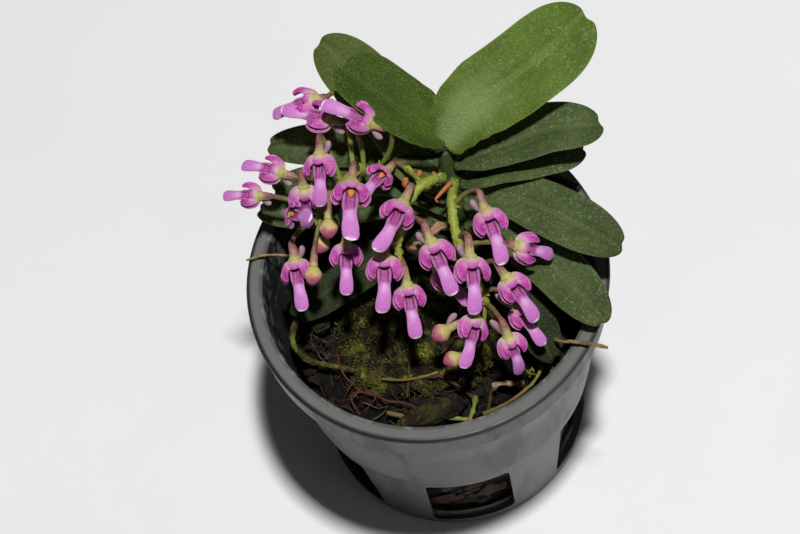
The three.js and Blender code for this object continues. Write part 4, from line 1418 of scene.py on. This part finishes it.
def make_pedicel(name, matrix, stalk, along, thick=1.0):
    """From the stalk to the cup: a thin green branch, then the thicker ribbed ovary."""
    root = on_path(STALKS[stalk], along)
    cup = matrix @ Vector((0, 0.15, 0))
    behind = matrix @ Vector((0, 2.7, -0.45))
    bend = matrix @ Vector((0, 3.6, -1.1))
    way = [root]
    if (root - behind).length > 2.4:
        way.append(blend(root, bend, 0.6) + PLANE_LIFT * 0.3)
    way += [behind, matrix @ Vector((0, 1.35, -0.1)), cup]
    length = sum((b - a).length for a, b in zip(way, way[1:]))
    stops = [(0.0, 0.70), (0.7, 0.62), (2.4, 0.54), (3.4, 0.44), (4.3, 0.34), (9.0, 0.34)]
    guide = guide_for(way)
    rings = 40

    def place(s, angle):
        t = between_caps(s, rings)
        side, other = ring_sides(way, guide, t)
        left = (1 - t) * length
        ribbed = (1 - smoothstep(3.0, 4.5, left)) * smoothstep(0.2, 0.9, left)
        ribs = 1 + 0.07 * math.cos(6 * angle) * ribbed
        r = profile(stops, left) * ribs * thick if 0 < s < 1 else 0.0
        return on_path(way, t) + (side * math.cos(angle) + other * math.sin(angle)) * r

    piece = skin(name, 24, rings, place)
    lengths = [(1 - between_caps(a.value, rings)) * length / 10 for a in piece.data.attributes["along"].data]
    mark(piece, lengths, [a.value for a in piece.data.attributes["across"].data])
    return coat(piece, OVARY)


def make_bract(name, root, way_out, size, finish):
    """A small pointed scale at the foot of a pedicel."""
    out = way_out.normalized()
    side = out.cross(PLANE_LIFT).normalized()
    up = side.cross(out)

    def place(u, v):
        half = 0.42 * size * (1 - v) ** 0.7 + 0.02
        bent = 0.3 * size * u * u - 0.5 * size * v * v
        return root + out * (v * 1.5 * size) + side * (u * half) + up * bent

    return coat(petal(name, 4, 6, 0.12, place), finish)


def make_flowers():
    masters = {kind: make_bloom(kind, **shape) for kind, shape in BLOOM_KINDS.items()}
    spurs = {kind: make_spur(f"spur_{kind}", kind) for kind in (-2, -1, 0, 1)}
    for i, (at, lip, size, stalk, along, pitch, roll, side) in enumerate(FLOWERS, 1):
        matrix = plane_frame(at, lip, size, pitch, roll)
        kind = "closed" if pitch <= -24 else "wide" if pitch > 20 else ("hooded", "slender")[i % 2]
        bloom = copy_of(masters[kind], f"bloom_{i}", Matrix.Identity(4))
        sway = draw.uniform(-0.45, 0.45)
        nod = draw.uniform(-0.35, 0.25)
        for vertex in bloom.data.vertices:
            reach = max(-vertex.co.y - 2.6, 0) / 4.4
            vertex.co.x += sway * reach * reach
            vertex.co.z += nod * reach * reach
        bloom.data.transform(matrix)
        spur = copy_of(spurs[side], f"spur_{i}", matrix)
        pedicel = make_pedicel(f"pedicel_{i}", matrix, stalk, along)
        root = on_path(STALKS[stalk], along)
        bract = make_bract(f"bract_{i}", root + PLANE_LIFT * 0.3, lay(*at) - root + PLANE_LIFT * 2,
                           0.8, GREEN_BRACT)
        flower = join(f"open_flower_{i}", [bloom, spur, pedicel, bract])
        fit(flower, "flower", f"flower_{i}")
    put_away(*masters.values(), *spurs.values())


def make_buds():
    def bud(s, angle):
        swell = math.sin(math.pi * s) ** 0.62 * (0.86 + 0.36 * smoothstep(0.0, 0.6, s) - 0.12 * s)
        groove = math.exp(-(math.sin(1.5 * angle) / 0.14) ** 2) * smoothstep(0.45, 0.75, s)
        r = 1.12 * swell * (1 - 0.13 * groove)
        return Vector((r * math.cos(angle), 0.5 - 3.1 * s, r * math.sin(angle)))

    tip = skin("bud_tip", 42, 26, bud)
    seams = []
    for vertex in tip.data.vertices:
        angle = math.atan2(vertex.co.z, vertex.co.x)
        seams.append(math.exp(-((abs(math.sin(1.5 * angle)) - 0.26) / 0.1) ** 2) *
                     smoothstep(0.5, 0.8, (0.5 - vertex.co.y) / 3.1))
    mark(tip, [(0.5 - v.co.y) / 3.1 for v in tip.data.vertices], seams)
    coat(tip, BUD)
    spurs = {kind: make_spur(f"bud_spur_{kind}", kind) for kind in (-1, 0)}
    for i, (at, lip, size, stalk, along, side) in enumerate(BUDS, 1):
        matrix = plane_frame(at, lip, size)
        pedicel = make_pedicel(f"bud_pedicel_{i}", matrix, stalk, along, 0.85)
        parts = [copy_of(tip, f"tip_{i}", matrix), copy_of(spurs[side], f"bud_spur_{i}", matrix), pedicel]
        fit(join(f"closed_bud_{i}", parts), "flower", f"bud_{i}")
    put_away(tip, *spurs.values())


# dried curls: place, turn in degrees, length, girth and finish
HUSKS = [
    ((1.2, 5.9, 9.0), 25, 1.5, 0.62, HUSK),
    ((-1.6, 3.6, 8.4), -15, 1.35, 0.58, HUSK),
    ((-2.9, 12.2, 7.8), 60, 0.7, 0.4, BRACT),
    ((-1.1, 13.3, 8.2), 30, 0.5, 0.34, BRACT),
    ((0.9, 13.2, 8.4), 70, 0.45, 0.3, BRACT),
    ((-2.3, 13.8, 7.8), 110, 0.8, 0.5, GREEN_BRACT),
]


def make_husk(name, at, turn, length, girth, finish):
    def place(s, angle):
        polar = math.pi * s
        r = girth * math.sin(polar) * (1 + 0.35 * math.sin(3 * angle + 4 * s))
        own = Vector((length * math.cos(polar), r * math.cos(angle), r * math.sin(angle)))
        own.y += 0.3 * girth * math.sin(2.5 * own.x)
        own = Matrix.Rotation(math.radians(turn), 3, "Z") @ own
        return lay(at[0] + own.x, at[1] + own.y, at[2] + own.z)

    fit(coat(skin(name, 18, 14, place), finish), "bark")


def make_dry_bits():
    """The curled orange bract at the foot of the right stalk and dried flower remains."""
    way = [lay(3.1, 12.1, 9.0), lay(2.3, 11.3, 9.6), lay(1.5, 10.4, 9.8), lay(1.1, 9.9, 9.8),
           lay(1.4, 9.5, 9.7)]
    curl = bar("curled_bract", way, lambda s: 0.38 * (1 - 0.7 * s), sides=8, rings=18)
    fit(coat(curl, BRACT), "stalk")
    for i, husk in enumerate(HUSKS):
        make_husk(f"dry_husk_{i}", *husk)


# Studio: places and sizes in metres, power in watts

LENS_MM = 117
SENSOR_MM = 36
LAMP_AIM = Vector((0, 0, 0.03))
LAMPS = [
    ("overhead_lamp", (0.078, -0.103, 0.92), 8.4, 0.06),
    ("side_lamp", (0.42, -0.42, 0.34), 0.15, 0.3),
]
AIR_COLOUR = (0.95, 0.96, 1.0, 1)
AIR_STRENGTH = 0.04
EYE = Vector((-3.3, -165.1, 358.3)) * MM
VIEW_RIGHT = Vector((0.9703, -0.2136, -0.1136))
VIEW_UP = Vector((0.2419, 0.8567, 0.4555))


def make_camera():
    data = bpy.data.cameras.new("photo_camera")
    data.lens = LENS_MM
    data.sensor_width = SENSOR_MM
    data.clip_start = 0.01
    camera = bpy.data.objects.new("photo_camera", data)
    bpy.context.collection.objects.link(camera)
    back = VIEW_RIGHT.cross(VIEW_UP).normalized()
    basis = Matrix((VIEW_RIGHT, back.cross(VIEW_RIGHT), back)).transposed().to_4x4()
    camera.matrix_world = Matrix.Translation(EYE) @ basis
    bpy.context.scene.camera = camera


def make_light(name, place, power, size):
    data = bpy.data.lights.new(name, "AREA")
    data.shape = "SQUARE"
    data.size = size
    data.energy = power
    light = bpy.data.objects.new(name, data)
    bpy.context.collection.objects.link(light)
    light.location = place
    light.rotation_euler = (LAMP_AIM - Vector(place)).to_track_quat("-Z", "Y").to_euler()


def make_studio():
    floor = basic("pale_floor", bpy.ops.mesh.primitive_plane_add, size=3, location=(0, 0, 0))
    coat(floor, FLOOR_FINISH)
    for lamp in LAMPS:
        make_light(*lamp)
    world = bpy.data.worlds.new("studio_air")
    world.use_nodes = True
    air = world.node_tree.nodes["Background"].inputs
    air["Color"].default_value = AIR_COLOUR
    air["Strength"].default_value = AIR_STRENGTH
    bpy.context.scene.world = world
    bpy.context.scene.view_settings.view_transform = "Standard"


make_camera()
make_studio()
make_pot()
make_fill()
make_chips()
for bark in BARK_CHUNKS:
    make_chunk(*bark)
make_moss()
make_fibres()
make_strands()
make_loose_growth()
make_stem()
make_stalks()
for order, leaf in enumerate(LEAVES):
    make_leaf(*leaf, order)
make_flowers()
make_buds()
make_dry_bits()
